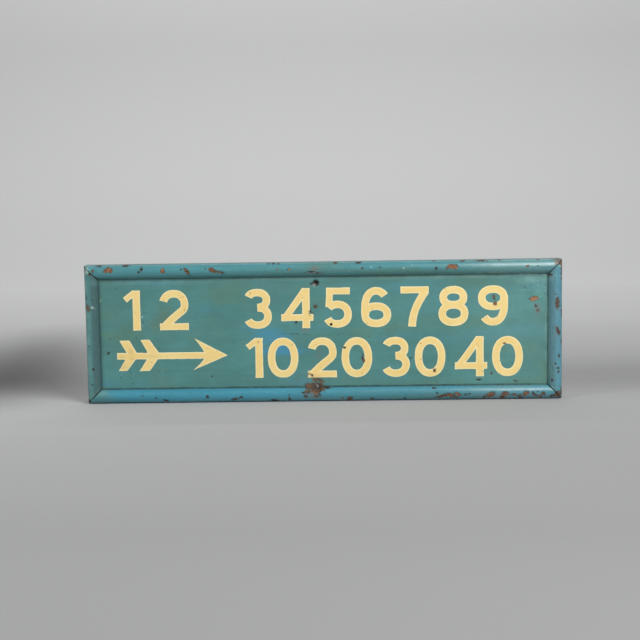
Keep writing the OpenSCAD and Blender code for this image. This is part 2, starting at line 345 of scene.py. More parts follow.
def round_corners(x, z, half_w, low_z, high_z, r):
    """Moves points of a rectangle so that its corners turn at radius r.

    In each corner's square a point slides towards the corner's centre until squares become circles."""
    mid_z, half_h = (low_z + high_z) / 2, (high_z - low_z) / 2
    from_x = np.sign(x) * np.maximum(np.abs(x) - (half_w - r), 0)
    from_z = np.sign(z - mid_z) * np.maximum(np.abs(z - mid_z) - (half_h - r), 0)
    long_way = np.hypot(from_x, from_z)
    longer = np.maximum(np.abs(from_x), np.abs(from_z))
    pull = np.where(long_way > 0, longer / np.maximum(long_way, 1e-12), 1) - 1
    return x + from_x * pull, z + from_z * pull


def corner_dirt_and_shade(x, z):
    """Dirt and painted shade from 0 to 1 on the face: a tight dark line against the beading, and a soft
    painted shade beside it.
    """
    edge = sides_gap(x, z, INNER_HALF_W, INNER_LO_Z, INNER_HI_Z) / MM
    wander = 0.2 * value_noise(*cells(x, z, 14, 14), 51)
    tight = ease(edge + wander, 1.3, 0.5)
    firm = np.where(z < INNER_LO_Z + 3 * MM, 0.9, 0.6)
    return np.clip(firm * tight + 0.03 * np.exp(-np.maximum(edge, 0) / 4), 0, 1)


def quads_of_grid(columns, rows, around=False):
    """Quads of a grid whose vertex (i, j) is i * rows + j. Around joins its last row to its first."""
    i, j = np.meshgrid(np.arange(columns - 1), np.arange(rows if around else rows - 1), indexing="ij")
    k = (j + 1) % rows
    here, ahead = i * rows, (i + 1) * rows
    return np.stack([here + j, ahead + j, ahead + k, here + k], axis=-1).reshape(-1, 4)


def block_ring(i0, i1, j0, j1, rows):
    """Vertex indices once round the edge of a block of a grid."""
    i, j = np.arange(i0, i1), np.arange(j0, j1)
    return np.concatenate([
        i * rows + j0,
        i1 * rows + j,
        np.arange(i1, i0, -1) * rows + j1,
        i0 * rows + np.arange(j1, j0, -1),
    ])


def strip_quads(ring_a, ring_b):
    """Quads between two closed rings with the same count of vertices."""
    return np.stack([ring_a, np.roll(ring_a, -1), np.roll(ring_b, -1), ring_b], axis=1)


def halving_strip(fine, coarse):
    """Triangles between a closed ring and one with half its vertices: three for each coarse edge."""
    a, b, c = fine[0::2], fine[1::2], np.roll(fine[0::2], -1)
    d, e = coarse, np.roll(coarse, -1)
    return np.concatenate([np.stack(t, axis=1) for t in ((a, b, d), (b, c, e), (d, b, e))])


def make_piece(name, points, faces, marks=None, uv=None, sharp=40):
    """A mesh object from points and faces, facing outwards, with a float attribute for each mark.

    A UV pair for each point goes to the layer named grain. Edges over sharp degrees stay sharp."""
    mesh = bpy.data.meshes.new(name)
    mesh.from_pydata(points, [], faces)
    for mark, values in (marks or {}).items():
        mesh.attributes.new(mark, "FLOAT", "POINT").data.foreach_set("value", np.asarray(values, np.float32))
    if uv is not None:
        corner = np.empty(len(mesh.loops), np.int32)
        mesh.loops.foreach_get("vertex_index", corner)
        mesh.uv_layers.new(name="grain").data.foreach_set("uv", np.asarray(uv, np.float32)[corner].ravel())
    mesh.validate()
    mesh.calc_loop_triangles()
    corners = np.empty(len(mesh.loop_triangles) * 3, np.int32)
    mesh.loop_triangles.foreach_get("vertices", corners)
    a, b, c = (np.asarray(points)[corners[k::3]] for k in range(3))
    if np.einsum("ij,ij->i", a, np.cross(b, c)).sum() < 0:
        mesh.flip_normals()
    mesh.polygons.foreach_set("use_smooth", np.ones(len(mesh.polygons), bool))
    mesh.set_sharp_from_angle(angle=math.radians(sharp))
    piece = bpy.data.objects.new(name, mesh)
    bpy.context.scene.collection.objects.link(piece)
    return piece


def without_loose(count, faces):
    """Which of so many vertices the faces use, and the faces renumbered for those alone."""
    used = np.zeros(count, bool)
    for group in faces:
        used[group.ravel()] = True
    new_number = np.cumsum(used) - 1
    return used, [new_number[group] for group in faces]


class Recipe:
    """The node tree of one material, with short calls for the nodes it is made of."""

    def __init__(self, name):
        self.material = bpy.data.materials.new(name)
        self.material.use_nodes = True
        self.tree = self.material.node_tree
        self.shader = self.tree.nodes["Principled BSDF"]
        self.place = self.put("ShaderNodeTexCoord").outputs["Object"]

    def put(self, kind, *values, **settings):
        """Adds a node, sets its properties, then links or sets its inputs. None leaves an input alone."""
        node = self.tree.nodes.new(kind)
        for key, value in settings.items():
            setattr(node, key, value)
        for socket, value in zip(node.inputs, values):
            self.feed(socket, value)
        return node

    def feed(self, socket, value):
        """Links another node's output to a socket, or sets the socket to a constant."""
        if isinstance(value, bpy.types.NodeSocket):
            self.tree.links.new(value, socket)
        elif value is not None:
            socket.default_value = value

    def mark(self, name):
        """A piece's own mark, one number for each vertex."""
        return self.put("ShaderNodeAttribute", attribute_name=name).outputs["Fac"]

    def uv(self):
        """Length along a bead or stroke and the way across it, in m."""
        return self.put("ShaderNodeUVMap", uv_map="grain").outputs["UV"]

    def stretched(self, x, y, z, place=None):
        """Coordinates multiplied along each axis."""
        node = self.put("ShaderNodeMapping", place or self.place)
        node.inputs["Scale"].default_value = (x, y, z)
        return node.outputs["Vector"]

    def shifted(self, x, y, z):
        """Coordinates moved along each axis, for a second noise unlike the first."""
        node = self.put("ShaderNodeMapping", self.place)
        node.inputs["Location"].default_value = (x, y, z)
        return node.outputs["Vector"]

    def noise(self, scale, detail=2.0, roughness=0.5, place=None):
        """Noise from 0 to 1, on the piece's own coordinates where no others are given."""
        node = self.put("ShaderNodeTexNoise", place or self.place)
        self.feed(node.inputs["Scale"], scale)
        self.feed(node.inputs["Detail"], detail)
        self.feed(node.inputs["Roughness"], roughness)
        return node.outputs["Fac"]

    def grain(self, x, y, z, detail=3, roughness=0.6, place=None):
        """Noise on coordinates multiplied along each axis, so that it runs along the least of them."""
        return self.noise(1.0, detail, roughness, self.stretched(x, y, z, place))

    def span(self, value, start, end, low=0.0, high=1.0, kind="SMOOTHSTEP"):
        """Low before start, high after end, and a smooth or linear change between them."""
        node = self.put("ShaderNodeMapRange", value, start, end, low, high, interpolation_type=kind)
        return node.outputs["Result"]

    def sums(self, operation, *values):
        """One step of arithmetic."""
        return self.put("ShaderNodeMath", *values, operation=operation).outputs["Value"]

    def plus(self, a, b):
        return self.sums("ADD", a, b)

    def minus(self, a, b):
        return self.sums("SUBTRACT", a, b)

    def times(self, a, b):
        return self.sums("MULTIPLY", a, b)

    def weighted(self, a, weight_a, b, weight_b):
        return self.plus(self.times(a, weight_a), self.times(b, weight_b))

    def blend(self, amount, under, over, how="MIX"):
        """Mixes the colour over into the colour under by an amount. How names another way to combine them."""
        node = self.tree.nodes.new("ShaderNodeMix")
        node.data_type = "RGBA"
        node.blend_type = how
        for socket, value in zip((node.inputs[0], node.inputs[6], node.inputs[7]), (amount, under, over)):
            if isinstance(value, tuple):
                value = (*value, 1.0)
            self.feed(socket, value)
        return node.outputs[2]

    def veil(self, under, tone, value, *limits):
        """Lays a tone over a colour by a value: start, end, and the least and most that it covers."""
        return self.blend(self.span(value, *limits), under, tone)

    def specks(self, under, tone, scale, start, end, strength, crowd=None):
        """Scatters small specks of a tone over a colour, closer together where crowd is high."""
        field = self.noise(scale, 1, 0.4)
        if crowd is not None:
            field = self.plus(field, crowd)
        return self.blend(self.times(self.span(field, start, end), strength), under, tone)

    def distance(self, place, spot):
        """How far coordinates lie from a fixed spot."""
        return self.put("ShaderNodeVectorMath", place, spot, operation="DISTANCE").outputs["Value"]

    def ramp(self, value, stops):
        """Colour that runs through the stops, each a position and an 8-bit screen colour."""
        node = self.put("ShaderNodeValToRGB", value)
        steps = node.color_ramp.elements
        for position, _ in stops[1:-1]:
            steps.new(position)
        for step, (position, colour) in zip(steps, stops):
            step.position, step.color = position, (*srgb(*colour), 1)
        return node.outputs["Color"]

    def finish(self, colour, roughness, height, depth, bump):
        """Feeds the shader: colour, roughness, and a bump whose heights are given in units of depth."""
        self.feed(self.shader.inputs["Base Color"], colour)
        self.feed(self.shader.inputs["Roughness"], roughness)
        node = self.put("ShaderNodeBump")
        node.inputs["Strength"].default_value = bump
        node.inputs["Distance"].default_value = depth
        self.feed(node.inputs["Height"], height)
        self.feed(self.shader.inputs["Normal"], node.outputs["Normal"])
        return self.material


# Wood laid bare by a chip, from dirt through brown and orange-brown to golden
WOOD_TONES = [
    (0.05, (46, 42, 36)), (0.3, (74, 55, 42)), (0.55, (103, 71, 50)), (0.85, (144, 97, 66)),
    (1.0, (172, 138, 98)),
]
# How fine the wood's grain is along X, Y and Z where the board and where a bead is chipped
BOARD_GRAIN = (60, 60, 900)
BEAD_GRAIN = (120, 300, 300)


def bare_wood(r, grain_scale):
    """Colour of wood laid bare by a chip: the chip's tone, made uneven by fine grain and by clouds."""
    grain = r.span(r.grain(*grain_scale), 0.3, 0.7, -0.14, 0.1, "LINEAR")
    cloud = r.span(r.noise(430.0, 3, 0.65), 0.3, 0.7, -0.4, 0.2, "LINEAR")
    return r.ramp(r.plus(r.mark("tone"), r.plus(grain, cloud)), WOOD_TONES)


def worn_layer(r, under, grain_scale):
    """Cuts the bare spots, ragged at their edges, into a paint colour. Returns colour and mask of wood."""
    coarse = r.span(r.grain(240, 300, 330, 3, 0.65), 0.25, 0.75, -1.5, 1.3, "LINEAR")
    fine = r.span(r.noise(1000.0, 2, 0.6), 0.25, 0.75, -0.5, 0.5, "LINEAR")
    inside = r.plus(r.mark("bare"), r.plus(coarse, fine))
    mask = r.span(inside, -0.05, 0.12)
    dirty = r.veil(under, srgb(52, 66, 60), inside, -1.1, 0.0, 0.0, 0.6)
    wood = r.veil(bare_wood(r, grain_scale), srgb(112, 92, 74), r.mark("khaki"), 0.1, 0.8, 0.0, 0.6)
    wood = r.veil(wood, srgb(54, 42, 34), inside, 0.0, 0.6, 0.75, 0.0)
    return r.blend(mask, dirty, wood), mask


def soiled(r, under):
    """Lays dirt over a paint colour: cloudy brown smudges, and khaki worn wood with dark split lines."""
    cloud = r.noise(190.0, 3, 0.65)
    smudge = r.times(r.mark("smudge"), r.span(cloud, 0.36, 0.58, 0.15, 0.95))
    colour = r.blend(smudge, under, srgb(122, 106, 98))
    fine = r.grain(260, 300, 420, 3, 0.65)
    worn = r.plus(r.mark("khaki"), r.span(cloud, 0.3, 0.7, -0.35, 0.35, "LINEAR"))
    khaki = r.veil(srgb(80, 62, 46), srgb(116, 100, 78), fine, 0.38, 0.62)
    colour = r.veil(colour, khaki, worn, 0.25, 0.8, 0.0, 0.92)
    split = r.sums("ABSOLUTE", r.minus(fine, 0.5))
    line = r.times(r.span(split, 0.03, 0.0), r.span(worn, 0.3, 0.7))
    return r.blend(r.times(line, 0.7), colour, srgb(50, 40, 32))


def rubbed_layer(r, under, tone):
    """Cuts the pale rubs into a paint colour, ragged and thin."""
    ragged = r.span(r.noise(420.0, 3, 0.65), 0.25, 0.75, -1.1, 0.9, "LINEAR")
    return r.veil(under, tone, r.plus(r.mark("pale"), ragged), -0.2, 0.5, 0.0, 0.75)


def faded_and_lit_layer(r, under, tone, least):
    """Pales a paint colour in aged and painted-light patches, by clouds that cover at least the given share.
    """
    cloud = r.span(r.noise(70.0, 3, 0.6), 0.3, 0.65, least, 0.75)
    return r.blend(r.times(r.mark("faded_and_lit"), cloud), under, tone)


def nail_spot(r):
    """Mask of the old nail hole, a ragged dark dot about its place on the face."""
    away = r.distance(r.stretched(1, 0, 1), (NAIL_HOLE[0] * MM, 0, NAIL_HOLE[1] * MM))
    torn = r.span(r.noise(600.0, 2, 0.6), 0.3, 0.7, -0.3 * MM, 0.3 * MM)
    wide = r.plus(away, torn)
    return r.span(wide, (NAIL_HOLE_R + 0.5) * MM, (NAIL_HOLE_R - 0.1) * MM)


def face_paint(r, looks, mottle):
    """Colour of the painted face: two teal tones in brush strokes, green and blue patches, specks, dirt,
    and painted shade against the beading and painted light in some paler patches.
    """
    strokes = r.weighted(r.grain(9, 9, 20, 4), 0.78, r.grain(6, 40, 190), 0.22)
    colour = r.veil(tuple(looks.dark_tone), tuple(looks.light_tone), strokes, 0.4, 0.6)
    colour = r.veil(colour, srgb(86, 128, 112), r.grain(12, 12, 26, 3, 0.55), 0.52, 0.68, 0.0, 0.55)
    bluer = r.grain(8, 8, 30, 3, 0.55, r.shifted(0.4, 0.1, 0.7))
    colour = r.veil(colour, srgb(76, 134, 142), bluer, 0.52, 0.68, 0.0, 0.5)
    colour = r.blend(r.mark("green"), colour, tuple(looks.green_tone))
    colour = r.blend(r.mark("blue"), colour, tuple(looks.blue_tone))
    colour = r.veil(colour, srgb(74, 118, 110), r.noise(60.0, 3, 0.6), 0.4, 0.7, 0.0, 0.3)
    colour = r.veil(colour, srgb(66, 104, 100), mottle, 0.6, 0.74, 0.0, 0.3)
    crowd = r.plus(r.span(r.noise(11.0), 0.45, 0.66, 0.0, 0.07), r.times(r.mark("flecked"), 0.09))
    colour = r.specks(colour, srgb(44, 72, 68), 300.0, 0.79, 0.82, 0.65, crowd)
    colour = r.specks(colour, srgb(140, 172, 164), 240.0, 0.8, 0.83, 0.4, crowd)
    # Dirt and painted shade against the beading darken the face
    dirt_and_shade = r.times(r.mark("dirt_and_shade"), r.span(r.noise(160.0, 3, 0.6), 0.3, 0.62, 0.65, 1.0))
    colour = r.blend(dirt_and_shade, colour, srgb(24, 44, 44))
    colour = rubbed_layer(r, colour, srgb(152, 182, 174))
    colour = faded_and_lit_layer(r, colour, srgb(132, 176, 168), 0.35)
    return soiled(r, colour)


def aged_pine(r):
    """Aged pine of the back: growth lines that bend round the knots, stains and handling dirt.

    Returns the colour and the strength of the late wood."""
    knots = r.mark("knots")
    bend = r.weighted(r.grain(1.6, 3, 16, 3, 0.5), 9.0, knots, 6.5)
    up = r.put("ShaderNodeSeparateXYZ", r.place).outputs["Z"]
    phase = r.plus(r.times(up, 210.0), bend)
    late = r.span(r.sums("PINGPONG", phase, 0.5), 0.12, 0.5)
    faint = r.span(r.grain(5, 5, 40), 0.35, 0.65, 0.15, 0.75)
    pine = r.blend(r.times(late, faint), srgb(158, 134, 102), srgb(128, 98, 68))
    pine = r.veil(pine, srgb(106, 86, 66), r.grain(24, 200, 900), 0.35, 0.7, 0.0, 0.4)
    pine = r.veil(pine, srgb(82, 50, 30), knots, 0.72, 0.95)
    return r.veil(pine, srgb(104, 92, 76), r.grain(6, 6, 12, 4), 0.45, 0.75, 0.0, 0.55), late


def board_material(looks):
    """Old oil paint on the face and edges, chipped to wood, and a bare back with paint lapped round it."""
    r = Recipe("board_paint")
    mottle = r.noise(420.0, 2, 0.6)
    painted, chipped = worn_layer(r, face_paint(r, looks, mottle), BOARD_GRAIN)
    pine, late = aged_pine(r)
    lap = r.plus(r.mark("painted"), r.span(r.noise(90.0, 4, 0.65), 0.2, 0.8, -0.35, 0.35, "LINEAR"))
    paint_mask = r.span(lap, 0.46, 0.54)
    bare_back = r.minus(1.0, paint_mask)
    colour = r.blend(paint_mask, pine, painted)
    # Painted shade darkens the bores and inner countersinks
    colour = r.blend(r.mark("hole"), colour, srgb(52, 36, 30))
    colour = r.blend(r.mark("scab"), colour, srgb(194, 168, 166))
    colour = r.blend(nail_spot(r), colour, srgb(26, 18, 14))
    roughness = r.span(r.grain(20, 60, 140, 2, 0.5), 0.3, 0.7, 0.36, 0.5)
    roughness = r.plus(roughness, r.times(r.sums("MAXIMUM", chipped, bare_back), 0.35))
    height = r.weighted(r.grain(30, 300, 700), 0.25, mottle, 0.3)
    height = r.minus(height, r.times(chipped, 0.9))
    height = r.minus(height, r.times(r.times(late, 0.25), bare_back))
    return r.finish(colour, roughness, height, 0.25 * MM, 0.55)


def bead_material(name, light, dark):
    """Glossier and bluer paint of the beading: streaks along it, dirt and painted shade at the joints and on
    the inner flank, paler patches partly of painted light, chips to wood.
    """
    r = Recipe(name)
    streaks = r.weighted(r.grain(7, 200, 1, 3, 0.5, r.uv()), 0.5, r.grain(12, 40, 1, 3, 0.5, r.uv()), 0.5)
    colour = r.veil(dark, light, streaks, 0.36, 0.62)
    # Green patches: an older green coat, and painted shade on the top bead's lower half and crest
    colour = r.blend(r.times(r.mark("green"), 0.75), colour, srgb(84, 124, 112))
    # Painted shade, with some dirt, darkens the inner flank
    colour = r.blend(r.mark("flank"), colour, srgb(70, 98, 99))
    mottle = r.noise(480.0, 2, 0.6)
    colour = r.veil(colour, srgb(62, 102, 108), mottle, 0.6, 0.74, 0.0, 0.2)
    colour = r.specks(colour, srgb(44, 66, 68), 330.0, 0.8, 0.83, 0.5)
    colour = r.specks(colour, srgb(170, 196, 190), 260.0, 0.78, 0.81, 0.5)
    colour = faded_and_lit_layer(r, colour, srgb(124, 170, 168), 0.3)
    colour = soiled(r, rubbed_layer(r, colour, srgb(162, 190, 178)))
    colour, chipped = worn_layer(r, colour, BEAD_GRAIN)
    # Dirt at mitres and pins, and painted shade in the gap at the inner edge and at the foot of the round
    dirt_and_shade = r.times(r.mark("dirt_and_shade"), r.span(r.noise(260.0, 3, 0.6), 0.3, 0.62, 0.3, 1.0))
    colour = r.blend(dirt_and_shade, colour, srgb(58, 44, 34))
    glossy = r.mark("glossy")
    roughness = r.span(r.grain(70, 300, 1, place=r.uv()), 0.35, 0.65, 0.2, 0.4)
    roughness = r.plus(roughness, r.times(r.sums("MAXIMUM", chipped, dirt_and_shade), 0.45))
    roughness = r.plus(roughness, r.times(glossy, 0.06))
    height = r.weighted(r.grain(45, 420, 1, place=r.uv()), 0.35, mottle, 0.3)
    height = r.minus(height, chipped)
    r.feed(r.shader.inputs["Specular IOR Level"], r.span(glossy, 0.0, 1.0, 0.3, 1.0, "LINEAR"))
    # Old varnish is left on the glossiest end of the top bead
    r.feed(r.shader.inputs["Coat Weight"], r.span(glossy, 0.8, 1.0, 0.0, 0.6))
    r.shader.inputs["Coat Roughness"].default_value = 0.3
    return r.finish(colour, roughness, height, 0.25 * MM, 0.55)


def figure_material(looks):
    """Cream sign-writer's paint: streaks along each stroke, paler near its rims, greener at its edge."""
    r = Recipe("figure_paint")
    streaks = r.grain(30, 700, 1, place=r.uv())
    edge = r.mark("edge")
    uneven = r.weighted(streaks, 0.5, r.noise(26.0), 0.5)
    colour = r.veil(tuple(looks.ochre), tuple(looks.cream), uneven, 0.35, 0.65)
    colour = r.veil(colour, tuple(looks.rim), edge, 0.02, 0.28, 0.0, 0.75)
    outermost = r.times(r.span(edge, 0.55, 1.0), r.span(r.noise(220.0, 2, 0.6), 0.3, 0.7, 0.3, 1.0))
    colour = r.blend(outermost, colour, srgb(176, 172, 118))
    colour = r.specks(colour, srgb(146, 104, 66), 300.0, 0.745, 0.77, 0.7)
    colour = r.blend(r.times(r.mark("khaki"), 0.7), colour, srgb(190, 164, 112))
    colour, chipped = worn_layer(r, colour, BOARD_GRAIN)
    colour = r.blend(nail_spot(r), colour, srgb(30, 20, 14))
    roughness = r.span(r.noise(120.0), 0.3, 0.7, 0.36, 0.5)
    height = r.minus(r.times(streaks, 0.4), r.times(chipped, 0.9))
    return r.finish(colour, roughness, height, 0.2 * MM, 0.5)


def pin_material(looks, side):
    """Rusted steel pins. Those that were painted over, by place along the bead, keep the paint's colour."""
    r = Recipe(side + "_pin_steel")
    rust = r.noise(900.0, 4, 0.6)
    colour = r.veil(tuple(looks.rust), srgb(38, 30, 26), rust, 0.35, 0.65)
    along = r.put("ShaderNodeSeparateXYZ", r.place).outputs["X" if side in ALONG_X else "Z"]
    spots = pin_places(side + "_bead_pins")[:, 0 if side in ALONG_X else 1]
    covered = 0.0
    for spot, shown in zip(spots, PINS_SHOWN[side]):
        near = r.sums("COMPARE", along, float(spot), 5 * MM)
        covered = r.plus(covered, r.times(near, 1.0 - shown))
    worn = r.span(r.noise(650.0), 0.3, 0.7, -0.25, 0.25, "LINEAR")
    colour = r.veil(colour, tuple(looks.paint), r.plus(covered, worn), 0.4, 0.6)
    r.shader.inputs["Metallic"].default_value = 0.2
    return r.finish(colour, r.span(rust, 0.3, 0.7, 0.5, 0.8), rust, 0.1 * MM, 0.5)


def dress(piece, material, node=None):
    """Gives a finished piece its material and its body, and hides the CAD node that it stands for."""
    piece.data.materials.append(material)
    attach(piece, "root")
    if node:
        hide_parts(node)


def mount(name):
    """The mount of that name in the record."""
    for found in RECORD["mounts"]:
        if found["name"] == name:
            return found
    raise RuntimeError("The record has no mount named " + name)


def spaced(stops, steps):
    """Grid lines through the stops, with about the given step in each stretch, in an even count of cells."""
    lines = [np.array([stops[0]])]
    for a, b, step in zip(stops[:-1], stops[1:], steps):
        count = 2 * max(1, round((b - a) / step / 2))
        lines.append(np.linspace(a, b, count + 1)[1:])
    return np.concatenate(lines)


def nearest_even(lines, value):
    """Number of the line nearest to a value, out of every second line."""
    return 2 * int(np.argmin(np.abs(lines[::2] - value)))


# Studio paper, in m: the radius of its bend, its wall, front, half width and top, the lines of its grid,
# and its grey along Y from the sign's middle between two ends, painted shade that darkens it towards the
# front and at the fold behind the sign
SWEEP_BEND = 0.7
SWEEP_WALL_Y = 2.4
SWEEP_FRONT_Y = -9.0
SWEEP_HALF_W = 9.0
SWEEP_TOP = 3.2
SWEEP_LINES = 30
PAPER_FRONT, PAPER_BACK = -0.7, 2.5
PAPER_TONES_AND_SHADE = [
    (-0.7, 148), (-0.45, 158), (-0.3, 165), (-0.08, 177), (0.03, 177), (0.08, 173), (0.15, 167),
    (0.25, 164), (0.3, 167), (0.42, 177), (0.62, 188), (1.05, 204), (1.8, 209), (2.0, 204), (2.15, 203),
    (2.3, 205), (2.5, 204),
]
# A soft shade on the paper behind the sign's left end, in m: its middle, how far it reaches sideways,
# backwards and forwards, how much it leans and its front edge slants for each metre, and how strong it is
SHADE_AT = (-0.5, 0.24)
SHADE_REACH = (0.22, 0.9, 0.43)
SHADE_LEAN = 0.085
SHADE_TAPER = 0.4
SHADE_DEPTH = 0.72
# The spot of painted shade seen through the upper screw hole is black to the first radius and gone at the
# second
HOLE_SHADE_R = 14 * MM
HOLE_SHADE_SOFT_R = 22 * MM


def board_lines(step):
    """Lines of the face's grid along X and along Z: fine where the face shows, coarse under the beading,
    and finest at the nail hole."""
    nail_x, nail_z, near = NAIL_HOLE[0] * MM, NAIL_HOLE[1] * MM, 2.5 * MM
    rim = CORNER_R - ARRIS_R
    edge = HALF_W - ARRIS_R
    under = 3.2 * MM
    low, high = ARRIS_R, BOARD_H - ARRIS_R
    shown_low, shown_high = 8 * MM, INNER_HI_Z + 1.5 * MM
    shown_x = INNER_HALF_W + 1.5 * MM
    x_stops = [-edge, -edge + rim, -shown_x, nail_x - near, nail_x + near, shown_x, edge - rim, edge]
    z_stops = [low, low + rim, shown_low, nail_z - near, nail_z + near, shown_high, high - rim, high]
    steps = [rim / 4, under, step, FINE_STEP, step, under, rim / 4]
    return spaced(x_stops, steps), spaced(z_stops, steps)


def board_grid(x_lines, z_lines):
    """X and Z of each crossing of the lines, the board's corners turned at their radius."""
    x, z = (g.ravel() for g in np.meshgrid(x_lines, z_lines, indexing="ij"))
    return round_corners(x, z, HALF_W - ARRIS_R, ARRIS_R, BOARD_H - ARRIS_R, CORNER_R - ARRIS_R)


def face_points(x_lines, z_lines):
    """The painted face: the grid lowered by the face's relief where it shows."""
    x, z = board_grid(x_lines, z_lines)
    beyond = 2 * MM
    shown = ease(sides_gap(x, z, INNER_HALF_W + beyond, 7 * MM, INNER_HI_Z + beyond), 0, beyond)
    return np.stack([x, FACE_Y + shown * face_relief(x, z), z], axis=1)


def back_points(x_lines, z_lines):
    """The bare back: the grid a little inside the board's box, with saw marks, and flat at its edge."""
    x, z = board_grid(x_lines, z_lines)
    saw = SAW_DEPTH * value_noise(*cells(x, z, 4, 60), 61)
    saw = saw + BACK_WAVE_DEPTH * layered_noise(*cells(x, z, 90, 18), 62)
    inset = ease(sides_gap(x, z, HALF_W, 0, BOARD_H), 2 * MM, 8 * MM)
    return np.stack([x, BACK_Y - inset * MM * np.maximum(0.15 + saw, 0.02), z], axis=1)


class Skin:
    """Points and faces of a closed skin that grows ring by ring."""

    def __init__(self):
        self.points = []
        self.faces = []
        self.count = 0

    def add(self, points):
        """Adds points and returns their numbers."""
        self.points.append(points)
        numbers = np.arange(self.count, self.count + len(points))
        self.count += len(points)
        return numbers

    def ring(self, previous, xz, y):
        """Adds a ring of points, and quads between the previous ring and it. Returns the ring's numbers."""
        numbers = self.add(np.stack([xz[:, 0], np.broadcast_to(y, len(xz)), xz[:, 1]], axis=1))
        self.faces.append(strip_quads(previous, numbers))
        return numbers


def wrap_edges(skin, rim):
    """Rings round the board's edges from the rim of its face: a quarter circle, the side, a quarter circle.

    Each ring is the rim moved outwards, less a small uneven dent. Returns the last ring."""
    base = skin.points[0][rim][:, [0, 2]]
    out = base - np.clip(base, [CORNER_R - HALF_W, CORNER_R], [HALF_W - CORNER_R, BOARD_H - CORNER_R])
    out /= np.linalg.norm(out, axis=1, keepdims=True)
    turns = np.radians([30, 60, 90])
    profile = [(ARRIS_R * math.sin(t), FACE_Y + ARRIS_R * (1 - math.cos(t))) for t in turns]
    profile += [(ARRIS_R, y) for y in np.linspace(FACE_Y + ARRIS_R, BACK_Y - ARRIS_R, SIDE_LINES + 2)[1:]]
    profile += [(ARRIS_R * math.cos(t), BACK_Y - ARRIS_R * (1 - math.sin(t))) for t in turns[:2]]
    along = base[:, 0] + base[:, 1]
    last = rim
    for offset, y in profile:
        dent = MM * (EDGE_DENT + EDGE_DENT * value_noise(*cells(along, np.full(len(along), y), 7, 3), 63))
        last = skin.ring(last, base + out * (offset - dent)[:, None], y)
    return last


def hole_rings(start, hole, number):
    """Rings of a screw hole as (xz, y), from the block's square to the torn mouth on the face, down the
    countersink to the bore, through the board, and a little wider at the back."""
    hole_x, _, hole_z = hole["pos_m"]
    hole_r = hole["dims"]["r_mm"] * MM
    sink = BACK_Y - FACE_Y - hole["dims"]["length_mm"] * MM
    angle = np.arctan2(start[:, 2] - hole_z, start[:, 0] - hole_x)

    def circle(radius):
        return np.stack([hole_x + radius * np.cos(angle), hole_z + radius * np.sin(angle)], axis=1)

    torn = 1 + MOUTH_TORN * value_noise(angle * 2.1 + 7, np.full(len(angle), number * 9.0), 64)
    mouth_r = (hole_r + sink) * torn
    rings = []
    for share in MOUTH_RINGS:
        xz = start[:, [0, 2]] * (1 - share) + circle(mouth_r) * share
        rings.append((xz, FACE_Y + face_relief(xz[:, 0], xz[:, 1])))
    for share, drop in SINK_RINGS:
        radius = hole_r + (mouth_r - hole_r) * (share - SINK_END_SHARE) / (1 - SINK_END_SHARE)
        splinter = SPLINTERS * MM * value_noise(angle * 5, np.full(len(angle), drop * 3), 65)
        rings.append((circle(radius + splinter), FACE_Y + drop * MM * sink / (SINK_END_DEPTH * MM)))
    for y in np.linspace(FACE_Y + sink + 2 * MM, BACK_Y - 0.8 * MM, 4):
        rings.append((circle(hole_r), y))
    rings.append((circle(hole_r + 0.5 * MM), BACK_Y - 0.15 * MM))
    return rings


def without_block(quads, i0, i1, j0, j1, rows):
    """Quads of a grid without those of one block."""
    i, j = quads[:, 0] // rows, quads[:, 0] % rows
    return quads[~((i >= i0) & (i < i1) & (j >= j0) & (j < j1))]


def back_board_mesh(step):
    """One closed board: the face's grid, rings round its edges, and the back's grid with half the lines.
    Each screw hole is a block taken out of both grids and joined by rings."""
    x_lines, z_lines = board_lines(step)
    columns, rows = len(x_lines), len(z_lines)
    back_columns, back_rows = len(x_lines[::2]), len(z_lines[::2])
    skin = Skin()
    skin.add(face_points(x_lines, z_lines))
    last = wrap_edges(skin, block_ring(0, columns - 1, 0, rows - 1, rows))
    back = skin.add(back_points(x_lines[::2], z_lines[::2]))
    triangles = [halving_strip(last, back[block_ring(0, back_columns - 1, 0, back_rows - 1, back_rows)])]
    face_quads = quads_of_grid(columns, rows)
    back_quads = quads_of_grid(back_columns, back_rows)
    for number, name in enumerate(SCREW_SCABS):
        hole = mount(name)
        i = nearest_even(x_lines, hole["pos_m"][0]) - HOLE_BLOCK
        j = nearest_even(z_lines, hole["pos_m"][2]) - HOLE_BLOCK
        block = (i, i + 2 * HOLE_BLOCK, j, j + 2 * HOLE_BLOCK)
        back_block = tuple(line // 2 for line in block)
        face_quads = without_block(face_quads, *block, rows)
        back_quads = without_block(back_quads, *back_block, back_rows)
        last = block_ring(*block, rows)
        for xz, y in hole_rings(skin.points[0][last], hole, number):
            last = skin.ring(last, xz, y)
        triangles.append(halving_strip(last, back[block_ring(*back_block, back_rows)]))
    points = np.concatenate(skin.points)
    groups = [face_quads, *skin.faces, back[back_quads][:, ::-1], *triangles]
    used, groups = without_loose(len(points), groups)
    return points[used], [face for group in groups for face in group.tolist()]


def weather_marks(x, z, share):
    """The soft patches that the board and the beads have in common, times a share."""
    return {
        "green": patches(x, z, GREEN_COAT_AND_SHADE_PATCHES) * share,
        "smudge": patches(x, z, SMUDGES, 1.5) * share,
        "khaki": patches(x, z, KHAKI_STAINS, 1.5) * share,
        "faded_and_lit": patches(x, z, FADED_AND_LIT_PATCHES, 0.8) * share,
    }


